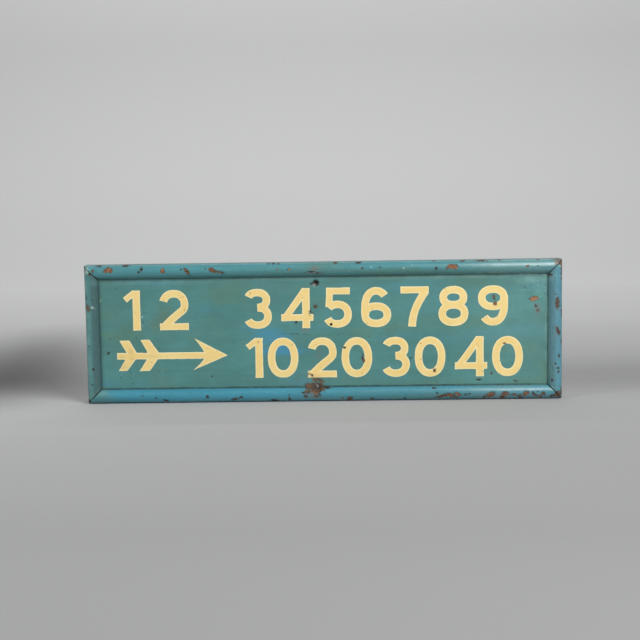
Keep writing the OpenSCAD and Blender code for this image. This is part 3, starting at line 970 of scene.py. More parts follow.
def hole_marks(x, z, depth, face, inside, tone):
    """Marks round the screw holes: bare wood in the lower countersink, bores darkened with painted shade,
    and scabs of paint.
    """
    hole, scab = np.zeros(len(x)), np.zeros(len(x))
    for name, (scab_x, scab_z, wide) in SCREW_SCABS.items():
        place = mount(name)
        away_x, away_z = (x - place["pos_m"][0]) / MM, (z - place["pos_m"][2]) / MM
        away = np.hypot(away_x, away_z)
        mouth = place["dims"]["r_mm"] + SINK_END_DEPTH
        ragged = 0.6 * value_noise(*cells(x, z, 1.4, 1.4), 72)
        if name == "lower_screw_hole":
            sink = ease(away + ragged, mouth + 0.9, mouth - 0.2) * face
            inside = np.maximum(inside, 4 * sink - 2.4)
            tone = np.where(sink > 0.4, 0.42, tone)
        # Bores and inner countersinks darkened: painted shade
        reach = mouth - 1.1
        hole = np.maximum(hole, ease(away + ragged, reach + 0.5, reach - 0.3) * ease(depth, 18.8, 18.0))
        side = bell((away_x - scab_x) / wide, (away_z - scab_z) / 1.4)
        scab = np.maximum(scab, side * ease(depth, 3.2, 2.2) * ease(away, mouth + 0.6, mouth - 0.4))
    return {"bare": inside, "tone": tone, "hole": hole, "scab": scab}


def board_marks(points):
    """Marks the board's material reads: bare spots, dirt and painted shade, patches, painted edges, knots,
    holes.
    """
    x, y, z = points[:, 0], points[:, 1], points[:, 2]
    inside, tone = spot_depth(x, z, BARE_SPOTS)
    depth = (y - FACE_Y) / MM
    inside = np.where(depth > CHIPPED_TO, -3.0, inside)
    face = ease(depth, 3.0, 1.5)
    edge = sides_gap(x, z, HALF_W, 0, BOARD_H) / MM
    lap = 7 + 5 * layered_noise(*cells(x, z, 40, 40), 71)
    on_back = ease(y, BACK_Y - 1.0 * MM, BACK_Y - 0.3 * MM)
    knots = np.zeros(len(points))
    for knot_x, knot_z, length, height in KNOTS:
        knots = np.maximum(knots, bell((x / MM - knot_x) / (length / 2), (z / MM - knot_z) / (height / 2)))
    return {
        **hole_marks(x, z, depth, face, inside, tone),
        **weather_marks(x, z, face),
        "pale": np.where(depth > CHIPPED_TO, -3.0, spot_depth(x, z, PALE_SPOTS)[0]),
        "dirt_and_shade": corner_dirt_and_shade(x, z) * face,
        "blue": patches(x, z, BLUE_PATCHES, 4) * face,
        "flecked": patches(x, z, FLECKED, 4) * face,
        "painted": 1 - on_back * ease(edge, lap - 5, lap + 5),
        "knots": knots,
    }


class SIGN_OT_back_board(bpy.types.Operator):
    """Makes the planed board with its painted face, rubbed edges, screw holes and bare back"""

    bl_idname = "sign.back_board"
    bl_label = "Back Board"

    def execute(self, context):
        looks = context.scene.sign_board
        points, faces = back_board_mesh(looks.grid_step)
        piece = make_piece("painted_board", points, faces, board_marks(points), sharp=50)
        dress(piece, board_material(looks), "back_board")
        return {"FINISHED"}


def pin_places(node):
    """Where a node's pins stand: the points of the pins are its vertices deepest in the board."""
    mesh = frame["nodes"][node].data
    co = np.empty(len(mesh.vertices) * 3)
    mesh.vertices.foreach_get("co", co)
    co = co.reshape(-1, 3)
    tips = co[co[:, 1] > co[:, 1].max() - 0.01 * MM]
    return np.unique(np.round(tips[:, [0, 2]], 5), axis=0)


def bead_lines(step, half, spots):
    """Lines across a bead as shares of its half length, closer together round each spot along it."""
    shares = [np.linspace(-1, 1, 2 * round(half / step) + 1)]
    middle = half - BEAD_W / 2
    for spot, reach, fine in spots:
        shares.append(np.arange(spot - reach, spot + reach, fine) / middle)
    lines = np.unique(np.round(np.concatenate(shares), 6))
    return lines[np.concatenate([[True], np.diff(lines) > 0.1 * MM / half])]


def bead_section(step):
    """Profile round a bead: back, outer quirk, round and inner quirk. Returns how far across and out each
    point lies, its angle on the round, and 1 for the points of the round.

    The round is an arc through both quirks' tops and the crest, and its points lie closer at the crest."""
    rise = BEAD_RISE - BEAD_QUIRK
    radius = ((BEAD_W / 2) ** 2 + rise**2) / (2 * rise)
    drop = BEAD_RISE - radius
    reach = math.acos((BEAD_QUIRK - drop) / radius)
    near = 2.2 * MM / radius
    flank = np.linspace(-reach, -near, round((reach - near) * radius / step) + 1)
    crest = np.linspace(-near, near, round(2 * near * radius / (0.4 * MM)) + 1)
    turn = np.concatenate([flank, crest[1:-1], -flank[::-1]])
    back = np.linspace(BEAD_W, 0, 7)[1:-1]
    flat = np.zeros(len(back))
    across = np.concatenate([[0, 0], BEAD_W / 2 + radius * np.sin(turn), [BEAD_W, BEAD_W], back])
    out = np.concatenate([[0, BEAD_QUIRK / 2], drop + radius * np.cos(turn), [BEAD_QUIRK / 2, 0], flat])
    on_round = np.concatenate([[0, 0], np.ones(len(turn)), [0, 0], flat])
    turn = np.concatenate([[-reach, -reach], turn, [reach, reach], flat])
    return across, out, turn, on_round


def on_bead(side, length, across, out):
    """Places on a bead, from length along it, way across from its outer edge and height off the face."""
    if side in ALONG_X:
        x, z = length, SETBACK + across if side == "bottom" else BOARD_H - SETBACK - across
    else:
        x, z = -FRAME_HALF_W + across if side == "left" else FRAME_HALF_W - across, BOARD_H / 2 + length
    return np.stack([x, FACE_Y - out, z], axis=-1)


def bead_mesh(side, step, chip_depth, pins):
    """Closed half-round bead: the section carried along the bead, each point's length shortened by how far
    across it lies, so both ends are cut at 45 degrees. Chips, pits over the pins and hand-planed waves go
    inwards only."""
    half = (FRAME_HALF_W if side in ALONG_X else BOARD_H / 2 - SETBACK) - MITRE_PLAY
    pins_along = pins[:, 0] if side in ALONG_X else pins[:, 1] - BOARD_H / 2
    spots = [(pin, 2.4 * MM, FINE_STEP) for pin in pins_along]
    screw = mount("lower_screw_hole")["pos_m"]
    if side == "bottom":
        spots.append((screw[0], 9 * MM, FINE_STEP))
    share = bead_lines(step, half, spots)
    section, section_out, turn, on_round = bead_section(step)
    columns, rows = len(share), len(section)
    s, across = np.meshgrid(share, section, indexing="ij")
    out = np.broadcast_to(section_out, s.shape)
    length = s * (half - across)

    flat = on_bead(side, length, across, out)
    x, z = flat[..., 0], flat[..., 2]
    inside, _ = spot_depth(x, z, BARE_SPOTS)
    waves = layered_noise(length / (45 * MM), np.broadcast_to(turn, s.shape) * 1.2, 81 + len(side))
    dent = BEAD_WAVE + BEAD_WAVE * waves + chip_depth / MM * ease(inside, -0.25, 0.5)
    for pin_x, pin_z in pins:
        away = np.hypot(x - pin_x, z - pin_z) / MM
        dent = np.maximum(dent, PIT_DEPTH * ease(away, PIT_RIM_R, PIT_FLOOR_R))
    end = (half - across - np.abs(length)) / MM
    dent = dent + MITRE_DIP * np.exp(-end / 0.35)
    dent = dent * on_round * MM
    worn_across = np.clip(across - dent * np.sin(turn), 0, BEAD_W)
    worn_out = out - dent * np.cos(turn)
    if side == "bottom":
        # Wood broken away round the screw: points past the broken edge are drawn back to it, to a wall
        from_hole = length - screw[0]
        ragged = 0.9 * value_noise(*cells(length, out, 1.1, 2.2), 82)
        ragged = ragged + 0.5 * value_noise(*cells(length, out, 2.7, 4), 83)
        radius = NOTCH_R + MM * (ragged + 0.16 * (out / MM) ** 1.2)
        broken = screw[2] - SETBACK - np.sqrt(np.maximum(radius**2 - from_hole**2, 0))
        worn_across = np.where(np.abs(from_hole) < radius, np.minimum(worn_across, broken), worn_across)
    reach = half - worn_across
    shape = on_bead(side, np.clip(length, -reach, reach), worn_across, worn_out)
    shape[..., 0], shape[..., 2] = round_corners(
        shape[..., 0], shape[..., 2], FRAME_HALF_W, SETBACK, BOARD_H - SETBACK, CORNER_R)
    points = shape.reshape(-1, 3)
    faces = quads_of_grid(columns, rows, around=True).tolist()
    for first in (0, (columns - 1) * rows):
        ring = np.arange(first, first + rows)
        fan = np.stack([ring, np.roll(ring, -1), np.full(rows, len(points))], axis=1)
        points = np.vstack([points, points[ring].mean(axis=0)])
        faces += (fan if first else fan[:, ::-1]).tolist()

    round_way = np.cumsum(np.hypot(np.diff(section, prepend=0), np.diff(section_out, prepend=0)))
    uv = np.stack([length, np.broadcast_to(round_way, s.shape)], axis=-1).reshape(-1, 2)
    return points, faces, np.vstack([uv, uv[:1], uv[-1:]])


def bead_marks(side, points, pins):
    """Marks that a bead's material reads: bare spots, dirt at the pins, dirt and painted shade at mitres and
    edges and on the inner flank, soft patches, some of them painted light.
    """
    x, y, z = points[:, 0], points[:, 1], points[:, 2]
    inside, tone = spot_depth(x, z, BARE_SPOTS)
    out = (FACE_Y - y) / MM
    inner = np.maximum(sides_gap(x, z, INNER_HALF_W, INNER_LO_Z, INNER_HI_Z) / MM, -19)
    across_x = FRAME_HALF_W - np.abs(x)
    across_z = np.minimum(z - SETBACK, BOARD_H - SETBACK - z)
    mitre = np.abs(across_x - across_z) / MM / math.sqrt(2)
    ragged = 0.35 * value_noise(*cells(x, z, 2.2, 2.2), 91)
    worn = 0.65 + 0.35 * value_noise(*cells(x, z, 3.5, 3.5), 92)
    dirt_and_shade = 0.8 * worn * np.exp(-np.maximum(mitre + ragged - 0.1, 0) / 0.3)
    firm = 0.9 if side == "bottom" else 0.65
    # Dark line in the gap at the inner edge and at the foot of the round by the face: dirt and painted shade
    dirt_and_shade = np.maximum(dirt_and_shade, firm * np.exp(-np.maximum(-inner - 0.15 + 0.3 * ragged, 0) / 0.4))
    dirt_and_shade = np.maximum(dirt_and_shade, np.where(inner > -9, 0.5, 0.15) * ease(out, 0.9, 0.2))
    for (pin_x, pin_z), shown in zip(pins, PINS_SHOWN[side]):
        away = np.hypot(x - pin_x, (z - pin_z) * 0.8) / MM
        dirt_and_shade = np.maximum(dirt_and_shade, shown * ease(away + ragged, 2.1, 1.2))
    turn = np.clip(-inner / (BEAD_W / MM), 0, 1)
    if side == "bottom":
        hole = mount("lower_screw_hole")["pos_m"]
        away = np.hypot(x - hole[0], z - hole[2]) / MM
        wall = ease(away + 2 * ragged, 9.0, 6.6)
        inside = np.maximum(inside, np.where(out > 0.05, 6.0 * wall - 4.6, -3))
        tone = np.where(wall > 0.6, 0.3 + 0.35 * ease(out, 0.5, 6.5), tone)
        dirt_and_shade = dirt_and_shade * (1 - wall)
    return {
        **weather_marks(x, z, 1),
        "bare": inside,
        "tone": tone,
        "glossy": ease(x, 150 * MM, 250 * MM) * (1.0 if side == "top" else 0.75),
        "pale": spot_depth(x, z, PALE_SPOTS)[0],
        "dirt_and_shade": dirt_and_shade,
        # Painted shade, with some dirt, on the inner flank
        "flank": ease(turn, 0.66, 0.36) * FLANK_SHADE_AND_DIRT[side],
    }


class SIGN_OT_beading(bpy.types.Operator):
    """Makes the four mitred half-round beads with their chips, pin pits and the break at the lower screw"""

    bl_idname = "sign.beading"
    bl_label = "Beading"

    def execute(self, context):
        looks = context.scene.sign_beading
        for side in PINS_SHOWN:
            pins = pin_places(side + "_bead_pins")
            points, faces, uv = bead_mesh(side, looks.grid_step, looks.chip_depth, pins)
            piece = make_piece(side + "_beading", points, faces, bead_marks(side, points, pins), uv, sharp=48)
            tone = np.array(getattr(looks, side + "_tone"))
            material = bead_material(side + "_bead_paint", tuple(tone), tuple(tone * looks.streak_depth))
            dress(piece, material, side + "_bead")
        return {"FINISHED"}


# A bowl's shape, where 2 is an ellipse and more is squarer
BULGE = 2.2


def arc(mid_x, mid_z, rx, rz, start, end):
    """Points along part of a superellipse, from one angle to another in degrees, about a millimetre apart."""
    count = max(6, round(math.radians(abs(end - start)) * (rx + rz) / 2 / 1.1))
    t = np.radians(np.linspace(start, end, count))
    power = 2 / BULGE
    x, z = (np.sign(way) * np.abs(way) ** power for way in (np.cos(t), np.sin(t)))
    return np.stack([mid_x + rx * x, mid_z + rz * z], axis=1)


def line(x0, z0, x1, z1):
    """Points along a straight stretch, about a millimetre and a half apart."""
    count = max(3, round(math.hypot(x1 - x0, z1 - z0) / 1.5))
    return np.linspace((x0, z0), (x1, z1), count)


def curve(*controls):
    """Points along a cubic Bezier curve: its start, the two points that bend it, and its end."""
    a, b, c, d = (np.array(p, float) for p in controls)
    t = np.linspace(0, 1, 28)[:, None]
    return a * (1 - t) ** 3 + 3 * b * t * (1 - t) ** 2 + 3 * c * t**2 * (1 - t) + d * t**3


def joined(*paths):
    """Paths one after another, without the doubled points where they meet."""
    return np.concatenate([paths[0]] + [p[1:] for p in paths[1:]])


def figure_strokes(figure, w, h, t):
    """Centre lines of a figure's brush strokes in a box w wide and h high, each with its width and whether
    it is a closed ring. Stems are t wide, bars a tenth thinner. All outlines stay inside the box."""
    e, rx = t / 2, (w - t) / 2
    bar = 0.9 * t
    waist = 0.53 * h
    if figure == "0":
        return [(arc(w / 2, h / 2, rx, h / 2 - e, 0, 360)[:-1], t, True)]
    if figure == "1":
        flag = line(0.05 * w, 0.76 * h, w - 0.76 * t, h - 0.32 * t)
        return [(line(w - e, 0, w - e, h), t, False), (flag, 0.8 * t, False)]
    if figure == "2":
        bowl = 0.27 * h
        top = arc(w / 2, h - e - bowl, rx, bowl, 165, -12)
        tail = curve(top[-1], (w - e - 1, 0.47 * h), (0.5 * w, 0.36 * h), (0.62 * t, 0.42 * t))
        return [(joined(top, tail), t, False), (line(0, bar / 2, w, bar / 2), bar, False)]
    if figure == "3":
        upper = arc(w / 2 - 0.5, (h - e + waist) / 2, rx - 1.2, (h - e - waist) / 2, 158, -90)
        lower = arc(w / 2, (e + waist) / 2, rx, (waist - e) / 2, 90, -158)
        return [(upper, t, False), (lower, t, False)]
    if figure == "4":
        stem = w - 0.95 * t
        return [
            (line(stem - 0.5, h - 0.2 * t, 0.55 * t, 0.27 * h), 0.92 * t, False),
            (line(0, 0.27 * h, w, 0.27 * h), bar, False),
            (line(stem, 0, stem, h), t, False),
        ]
    if figure == "5":
        rz = (0.64 * h - 2 * e + 2) / 2
        bowl = arc(w / 2, e + rz, rx, rz, 142, -156)
        return [
            (line(0.12 * w, h - bar / 2, 0.94 * w, h - bar / 2), bar, False),
            (line(0.12 * w + e, h - 1, bowl[0][0] + 0.2, bowl[0][1] + 1), 0.9 * t, False),
            (bowl, t, False),
        ]
    if figure in "69":
        rz = (0.62 * h - 2 * e) / 2
        ring = arc(w / 2, e + rz, rx, rz, 0, 360)[:-1]
        stem = joined(line(e, e + rz, e, h / 2), arc(w / 2, h / 2, rx, h / 2 - e, 180, 42))
        strokes = [(ring, t, True), (stem, t, False)]
        if figure == "9":
            strokes = [(np.array([w, h]) - path, width, closed) for path, width, closed in strokes]
        return strokes
    if figure == "7":
        fall = curve((w - 0.43 * t, h - 0.6 * t), (0.68 * w, 0.66 * h), (0.42 * w, 0.42 * h), (0.4 * w, 0))
        return [(line(0, h - bar / 2, w, h - bar / 2), bar, False), (fall, t, False)]
    upper = arc(w / 2, (h - e + waist) / 2, rx - 1.4, (h - e - waist) / 2, 0, 360)[:-1]
    lower = arc(w / 2, (e + waist) / 2, rx, (waist - e) / 2, 0, 360)[:-1]
    return [(upper, t, True), (lower, t, True)]


# Width of each figure as a share of its height
FIGURE_WIDTHS = dict(zip("0123456789", (0.76, 0.4, 0.72, 0.7, 0.8, 0.72, 0.74, 0.7, 0.74, 0.74)))
# Rows of figures, in mm: text, left and right end, foot at left and right, height, room within a number
FIGURE_ROWS = {
    "painted_upper_left": ("12", -270.5, -177.1, 99.8, 99.8, 55.2, 26.0),
    "painted_upper_row": ("3456789", -107.6, 251.1, 100.0, 100.4, 55.0, None),
    "painted_lower_row": ("10 20 30 40", -104.4, 271.3, 32.6, 30.6, 55.2, 6.4),
}
# The arrow, in mm: tip, tail, neck, lower and upper edge of the shaft, tips of the barbs, and each
# feather's four corners as x and z, the outer two first
ARROW_TIP = (-130.2, 64.4)
ARROW_TAIL_X = -282.5
ARROW_NECK_X = -163.0
ARROW_SHAFT_Z = (60.0, 69.4)
ARROW_BARBS = ((-176.8, 89.0), (-178.8, 44.2))
ARROW_FEATHERS = [
    ((-279, 86.5), (-264.8, 86.5), (-253.6, 69.4), (-267.6, 69.4)),
    ((-280.9, 44.3), (-268.9, 44.3), (-254.6, 60.0), (-269.4, 60.0)),
    ((-249.9, 87.2), (-237.2, 87.2), (-223, 69.6), (-239, 69.6)),
    ((-252.2, 43.9), (-238, 43.9), (-224.4, 60.0), (-239.8, 60.0)),
]


def edge_distance(x, z, loops):
    """Distance in mm to the nearest edge of closed loops, more than 0 inside them by the even-odd rule."""
    starts = np.concatenate(loops)
    ends = np.concatenate([np.roll(loop, -1, axis=0) for loop in loops])
    side = ends - starts
    away = np.stack([x, z], axis=-1)[:, None] - starts
    share = np.clip((away * side).sum(-1) / np.maximum((side**2).sum(-1), 1e-9), 0, 1)
    gap = np.sqrt(((away - share[..., None] * side) ** 2).sum(-1).min(-1))
    crosses = (starts[:, 1] > z[:, None]) != (ends[:, 1] > z[:, None])
    level = np.where(side[:, 1] == 0, 1, side[:, 1])
    x_there = starts[:, 0] + (z[:, None] - starts[:, 1]) * side[:, 0] / level
    inside = (crosses & (x[:, None] < x_there)).sum(-1) % 2 == 1
    return np.where(inside, gap, -gap)


def along_stroke(x, z, path):
    """How far along a centre line and how far beside it each point lies, by the nearest place on the line."""
    side = np.diff(path, axis=0)
    length = np.linalg.norm(side, axis=1)
    away = np.stack([x, z], axis=-1)[:, None] - path[:-1]
    share = np.clip((away * side).sum(-1) / length**2, 0, 1)
    gap = away - share[..., None] * side
    near = np.argmin((gap**2).sum(-1), axis=1)
    row = np.arange(len(x))
    run = np.concatenate([[0], np.cumsum(length)])[near] + share[row, near] * length[near]
    turn = side[near, 0] * gap[row, near, 1] - side[near, 1] * gap[row, near, 0]
    return np.stack([run, np.sign(turn) * np.linalg.norm(gap[row, near], axis=-1)], axis=-1)


# A film of paint, in mm: how far its outline wavers, how softly its rim rises, depth of rim and underside
WAVER = 0.14
SOFT_RIM = 0.13
RIM_SINK = 0.03
UNDERSIDE = 0.08
# A cell of its grid stays where a corner lies inside the outline by this share of a cell
KEPT_SHARE = 0.3


def film(shapes, cell, thickness):
    """Skin of paint over the union of outlines, in mm: (points, faces, uv, distance from the edge).

    Each shape is (closed loops, centre line). A square grid covers them. Its value is the distance inside
    the nearest edge, with a slow noise added so that edges waver as a brush does. Cells with a corner
    inside stay, and their outer corners slide along the value's slope until it is 0, which puts them on the
    outline. The height rises from just under the face at the outline to the film's thickness. The same
    grid, a little under the face, closes it."""
    corners = np.concatenate([loop for loops, _ in shapes for loop in loops])
    low, high = corners.min(axis=0) - 1.6 * cell, corners.max(axis=0) + 1.6 * cell
    across, up = np.arange(low[0], high[0] + cell, cell), np.arange(low[1], high[1] + cell, cell)
    x, z = (g.ravel() for g in np.meshgrid(across, up, indexing="ij"))

    def depth(x, z):
        return np.stack([edge_distance(x, z, loops) for loops, _ in shapes])

    def wavering(x, z):
        return depth(x, z).max(axis=0) + WAVER * value_noise(x / 4.1, z / 4.1, 101)

    value = wavering(x, z)
    slope = np.stack([g.ravel() for g in np.gradient(value.reshape(len(across), len(up)), cell)], axis=-1)
    slope /= np.maximum(np.linalg.norm(slope, axis=1, keepdims=True), 1e-6)
    quads = quads_of_grid(len(across), len(up))
    quads = quads[(value[quads] > KEPT_SHARE * cell).any(axis=1)]
    uses = np.bincount(quads.ravel(), minlength=len(x))
    moved = (uses > 0) & (value <= KEPT_SHARE * cell)
    for _ in range(4):
        push = np.clip(value[moved], -1.5 * cell, cell)
        x[moved] -= push * slope[moved, 0]
        z[moved] -= push * slope[moved, 1]
        value[moved] = wavering(x[moved], z[moved])
    value = np.where(moved, 0, value)
    relief = face_relief(x * MM, z * MM)
    height = (thickness + RIM_SINK * MM) * (1 - np.exp(-value / SOFT_RIM)) - RIM_SINK * MM
    top = np.stack([x * MM, FACE_Y + relief - height, z * MM], axis=-1)
    under = top.copy()
    under[:, 1] = FACE_Y + relief + UNDERSIDE * MM
    rim = (uses > 0) & (uses < 4)
    below = np.where(rim, np.arange(len(x)), np.arange(len(x)) + len(x))
    used, groups = without_loose(2 * len(x), [quads, below[quads][:, ::-1]])
    stroke = depth(x, z).argmax(axis=0)
    uv = np.zeros((len(x), 2))
    for number, (_, path) in enumerate(shapes):
        mine = stroke == number
        uv[mine] = along_stroke(x[mine], z[mine], path) * MM + np.array([number * 0.13, number * 0.07])
    points = np.vstack([top, under])[used]
    return points, np.concatenate(groups), np.vstack([uv, uv])[used], np.concatenate([value, value])[used]


def stroke_shape(path, width, closed):
    """Outline of a brush stroke, its centre line moved half its width each way and flared at its ends, and
    the centre line itself."""
    if closed:
        ahead = np.roll(path, -1, axis=0) - np.roll(path, 1, axis=0)
        flare = np.ones(len(path))
    else:
        ahead = np.gradient(path, axis=0)
        flare = 1 + 0.05 * np.abs(np.linspace(-1, 1, len(path))) ** 5
    ahead /= np.linalg.norm(ahead, axis=1, keepdims=True)
    side = np.stack([-ahead[:, 1], ahead[:, 0]], axis=1) * (width / 2 * flare)[:, None]
    left, right = path + side, path - side
    if closed:
        return [left, right], np.vstack([path, path[:1]])
    return [np.vstack([left, right[::-1]])], path


def painted_piece(name, films, looks):
    """One object from several films of paint, with the marks that the cream paint reads."""
    points, faces, uv, edge, start = [], [], [], [], 0
    for number, shapes in enumerate(films):
        made = film(shapes, looks.grid_step / MM, looks.thickness)
        points.append(made[0])
        faces.append(made[1] + start)
        uv.append(made[2] + np.array([number * 0.31, number * 0.017]))
        edge.append(np.exp(-made[3] / 0.7))
        start += len(made[0])
    points = np.concatenate(points)
    inside, tone = spot_depth(points[:, 0], points[:, 2], BARE_SPOTS)
    thin_dirt = patches(points[:, 0], points[:, 2], KHAKI_STAINS + CREAM_STAINS, 1.5)
    marks = {"bare": inside, "tone": tone, "khaki": thin_dirt, "edge": np.concatenate(edge)}
    piece = make_piece(name, points, np.concatenate(faces).tolist(), marks, np.concatenate(uv), sharp=35)
    dress(piece, bpy.data.materials.get("figure_paint") or figure_material(looks))


def figure_shapes(row, looks):
    """Outlines of every figure of one row of plain numbers, spread evenly between the row's ends."""
    text, left, right, foot_left, foot_right, height, inner = row
    widths = [FIGURE_WIDTHS[f] * height for f in text if f != " "]
    within = 0 if inner is None else sum(len(number) - 1 for number in text.split())
    breaks = len(widths) - 1 - within
    room = right - left - sum(widths) - within * (inner or 0)
    gap = room / breaks if breaks else 0
    films = []
    x = left
    for f in text:
        if f == " ":
            x += gap - (inner or 0)
            continue
        width = FIGURE_WIDTHS[f] * height
        foot = foot_left + (foot_right - foot_left) * (x - left) / (right - left)
        place = np.array([x, foot])
        strokes = figure_strokes(f, width, height, looks.stem / MM)
        films.append([stroke_shape(path + place, thick, closed) for path, thick, closed in strokes])
        x += width + (gap if inner is None else inner)
    return films


class SIGN_OT_figures(bpy.types.Operator):
    """Paints three rows of plain cream numbers on the face"""

    bl_idname = "sign.figures"
    bl_label = "Figures"

    def execute(self, context):
        looks = context.scene.sign_figures
        for name, row in FIGURE_ROWS.items():
            painted_piece(name, figure_shapes(row, looks), looks)
        return {"FINISHED"}


def arrow_shapes():
    """Outlines of the arrow: shaft, head with swept barbs whose inner edges bow, and four feathers."""
    low, high = ARROW_SHAFT_Z
    middle = (low + high) / 2
    tail, neck = ARROW_TAIL_X, ARROW_NECK_X
    shaft = np.array([(tail, high), (neck + 8, high), (neck + 8, low), (tail, low)])
    shapes = [([shaft], line(tail, middle, neck + 8, middle))]
    t = np.linspace(0, 1, 16)[:, None]
    bows = []
    for barb, shaft_z in zip(ARROW_BARBS, (high, low)):
        barb, root = np.array(barb), np.array([neck, shaft_z])
        bow = (barb + root) / 2 + np.array([2.0, 0])
        bows.append((1 - t) ** 2 * barb + 2 * t * (1 - t) * bow + t**2 * root)
    head = np.vstack([bows[0], bows[1][::-1], [ARROW_TIP]])
    shapes.append(([head], line(neck - 12, middle, ARROW_TIP[0], middle)))
    for outer_a, outer_b, root_b, root_a in ARROW_FEATHERS:
        sink = np.array([0, 3.0 if outer_a[1] < low else -3.0])
        ends = np.array([outer_a, outer_b, root_b + sink, root_a + sink])
        centre = (ends[0] + ends[1]) / 2, (ends[2] + ends[3]) / 2
        shapes.append(([ends], line(*centre[0], *centre[1])))
    return shapes


class SIGN_OT_arrow(bpy.types.Operator):
    """Paints the feathered arrow on the face"""

    bl_idname = "sign.arrow"
    bl_label = "Arrow"

    def execute(self, context):
        painted_piece("painted_arrow", [arrow_shapes()], context.scene.sign_figures)
        return {"FINISHED"}


class SIGN_OT_pins(bpy.types.Operator):
    """Gives the panel pins of all four beads their rusted steel"""

    bl_idname = "sign.pins"
    bl_label = "Pins"

    def execute(self, context):
        for side in PINS_SHOWN:
            mesh = frame["nodes"][side + "_bead_pins"].data
            mesh.materials.clear()
            mesh.materials.append(pin_material(context.scene.sign_pins, side))
        return {"FINISHED"}


def sweep_material(looks):
    """Matt pale studio paper, its grey painted shade: darkest at the fold behind the sign, paler far behind
    it.

    A small spot of painted shade lies where the camera looks through the upper screw hole, black in a still
    picture."""
    r = Recipe("studio_paper")
    r.feed(r.shader.inputs["Specular IOR Level"], 0.1)
    fleck = r.noise(300.0, 2, 0.5)
    parts = r.put("ShaderNodeSeparateXYZ", r.place).outputs
    depth = PAPER_BACK - PAPER_FRONT
    stops = [((y - PAPER_FRONT) / depth, (tone, tone, tone)) for y, tone in PAPER_TONES_AND_SHADE]
    colour = r.ramp(r.span(parts["Y"], PAPER_FRONT, PAPER_BACK, kind="LINEAR"), stops)
    # Paler up the wall: painted light
    rise = r.span(parts["Z"], 0.0, 1.2, 0.0, 0.35, kind="LINEAR")
    colour = r.blend(rise, colour, tuple(looks.wall_tone))
    # The right half of the paper is a little darker, which evens out the lamp that stands on that side
    slope = r.span(parts["Y"], 0.1, 0.6, -0.3, -0.02)
    even = r.sums("MULTIPLY_ADD", parts["X"], slope, 1.0)
    even = r.sums("MAXIMUM", r.sums("MINIMUM", even, 1.15), 0.85)
    grey = r.put("ShaderNodeCombineColor", even, even, even).outputs["Color"]
    colour = r.blend(1.0, colour, grey, "MULTIPLY")
    behind, beside = r.minus(parts["Y"], SHADE_AT[1]), r.minus(parts["X"], SHADE_AT[0])
    sideways = r.sums("DIVIDE", r.sums("MULTIPLY_ADD", behind, SHADE_LEAN, beside), SHADE_REACH[0])
    nearer = r.sums("DIVIDE", r.sums("MULTIPLY_ADD", beside, -SHADE_TAPER, behind), -SHADE_REACH[2])
    lengthways = r.sums("MAXIMUM", r.sums("DIVIDE", behind, SHADE_REACH[1]), nearer)
    away = r.sums("SQRT", r.plus(r.sums("POWER", sideways, 2.0), r.sums("POWER", lengthways, 2.0)))
    colour = r.veil(colour, srgb(60, 60, 62), away, 1.0, 0.0, 0.0, SHADE_DEPTH)
    colour = r.veil(colour, srgb(120, 122, 124), fleck, 0.3, 0.7, 0.0, 0.04)
    # Painted shade on the paper where the camera looks through the upper screw hole
    spot = r.distance(r.place, sight_through("upper_screw_hole", looks))
    colour = r.veil(colour, srgb(20, 16, 14), spot, HOLE_SHADE_SOFT_R, HOLE_SHADE_R)
    return r.finish(colour, 0.9, fleck, 0.05 * MM, 0.1)


def bearing(azimuth, elevation):
    """Direction at an azimuth to the right of straight in front and an elevation, both in radians."""
    flat = math.cos(elevation)
    return Vector((math.sin(azimuth) * flat, -math.cos(azimuth) * flat, math.sin(elevation)))


def sight_through(name, looks):
    """Where the line from the camera through the middle of a screw hole meets the paper."""
    eye = Vector((0, 0, BOARD_H / 2)) + bearing(looks.azimuth, looks.elevation) * looks.distance
    hole = mount(name)
    middle = Vector((hole["pos_m"][0], BACK_Y - hole["dims"]["length_mm"] * MM / 2, hole["pos_m"][2]))
    ray = (middle - eye).normalized()
    reach = np.linspace(0, 6, 60001)
    y, z = eye.y + ray.y * reach, eye.z + ray.z * reach
    into_bend = np.clip(y - (SWEEP_WALL_Y - SWEEP_BEND), 0, SWEEP_BEND)
    paper_z = SWEEP_BEND - np.sqrt(SWEEP_BEND**2 - into_bend**2)
    return tuple(eye + ray * reach[int(np.argmax(z <= paper_z))])


def lamp(name, energy, size, azimuth, elevation, distance, target):
    """Rectangular soft lamp, its size in m, at a bearing in degrees from the target and turned to face it."""
    data = bpy.data.lights.new(name, "AREA")
    data.shape = "RECTANGLE"
    data.energy = energy
    data.size, data.size_y = size
    back = bearing(math.radians(azimuth), math.radians(elevation))
    light = bpy.data.objects.new(name, data)
    light.location = target + back * distance
    light.rotation_mode = "QUATERNION"
    light.rotation_quaternion = (-back).to_track_quat("-Z", "Y")
    bpy.context.scene.collection.objects.link(light)


def sweep_mesh():
    """Floor, quarter circle and wall of the studio paper as one profile, carried sideways."""
    bend, lines = SWEEP_BEND, SWEEP_LINES
    turn = np.linspace(0, math.pi / 2, 24)[1:]
    floor = np.linspace(SWEEP_FRONT_Y, SWEEP_WALL_Y - bend, lines)
    profile_y = np.concatenate([floor, SWEEP_WALL_Y - bend + bend * np.sin(turn), [SWEEP_WALL_Y]])
    profile_z = np.concatenate([np.zeros(lines), bend - bend * np.cos(turn), [SWEEP_TOP]])
    x = np.broadcast_to(np.linspace(-SWEEP_HALF_W, SWEEP_HALF_W, lines)[:, None], (lines, len(profile_y)))
    points = np.stack([x, np.broadcast_to(profile_y, x.shape), np.broadcast_to(profile_z, x.shape)], axis=-1)
    return points.reshape(-1, 3), quads_of_grid(*x.shape).tolist()


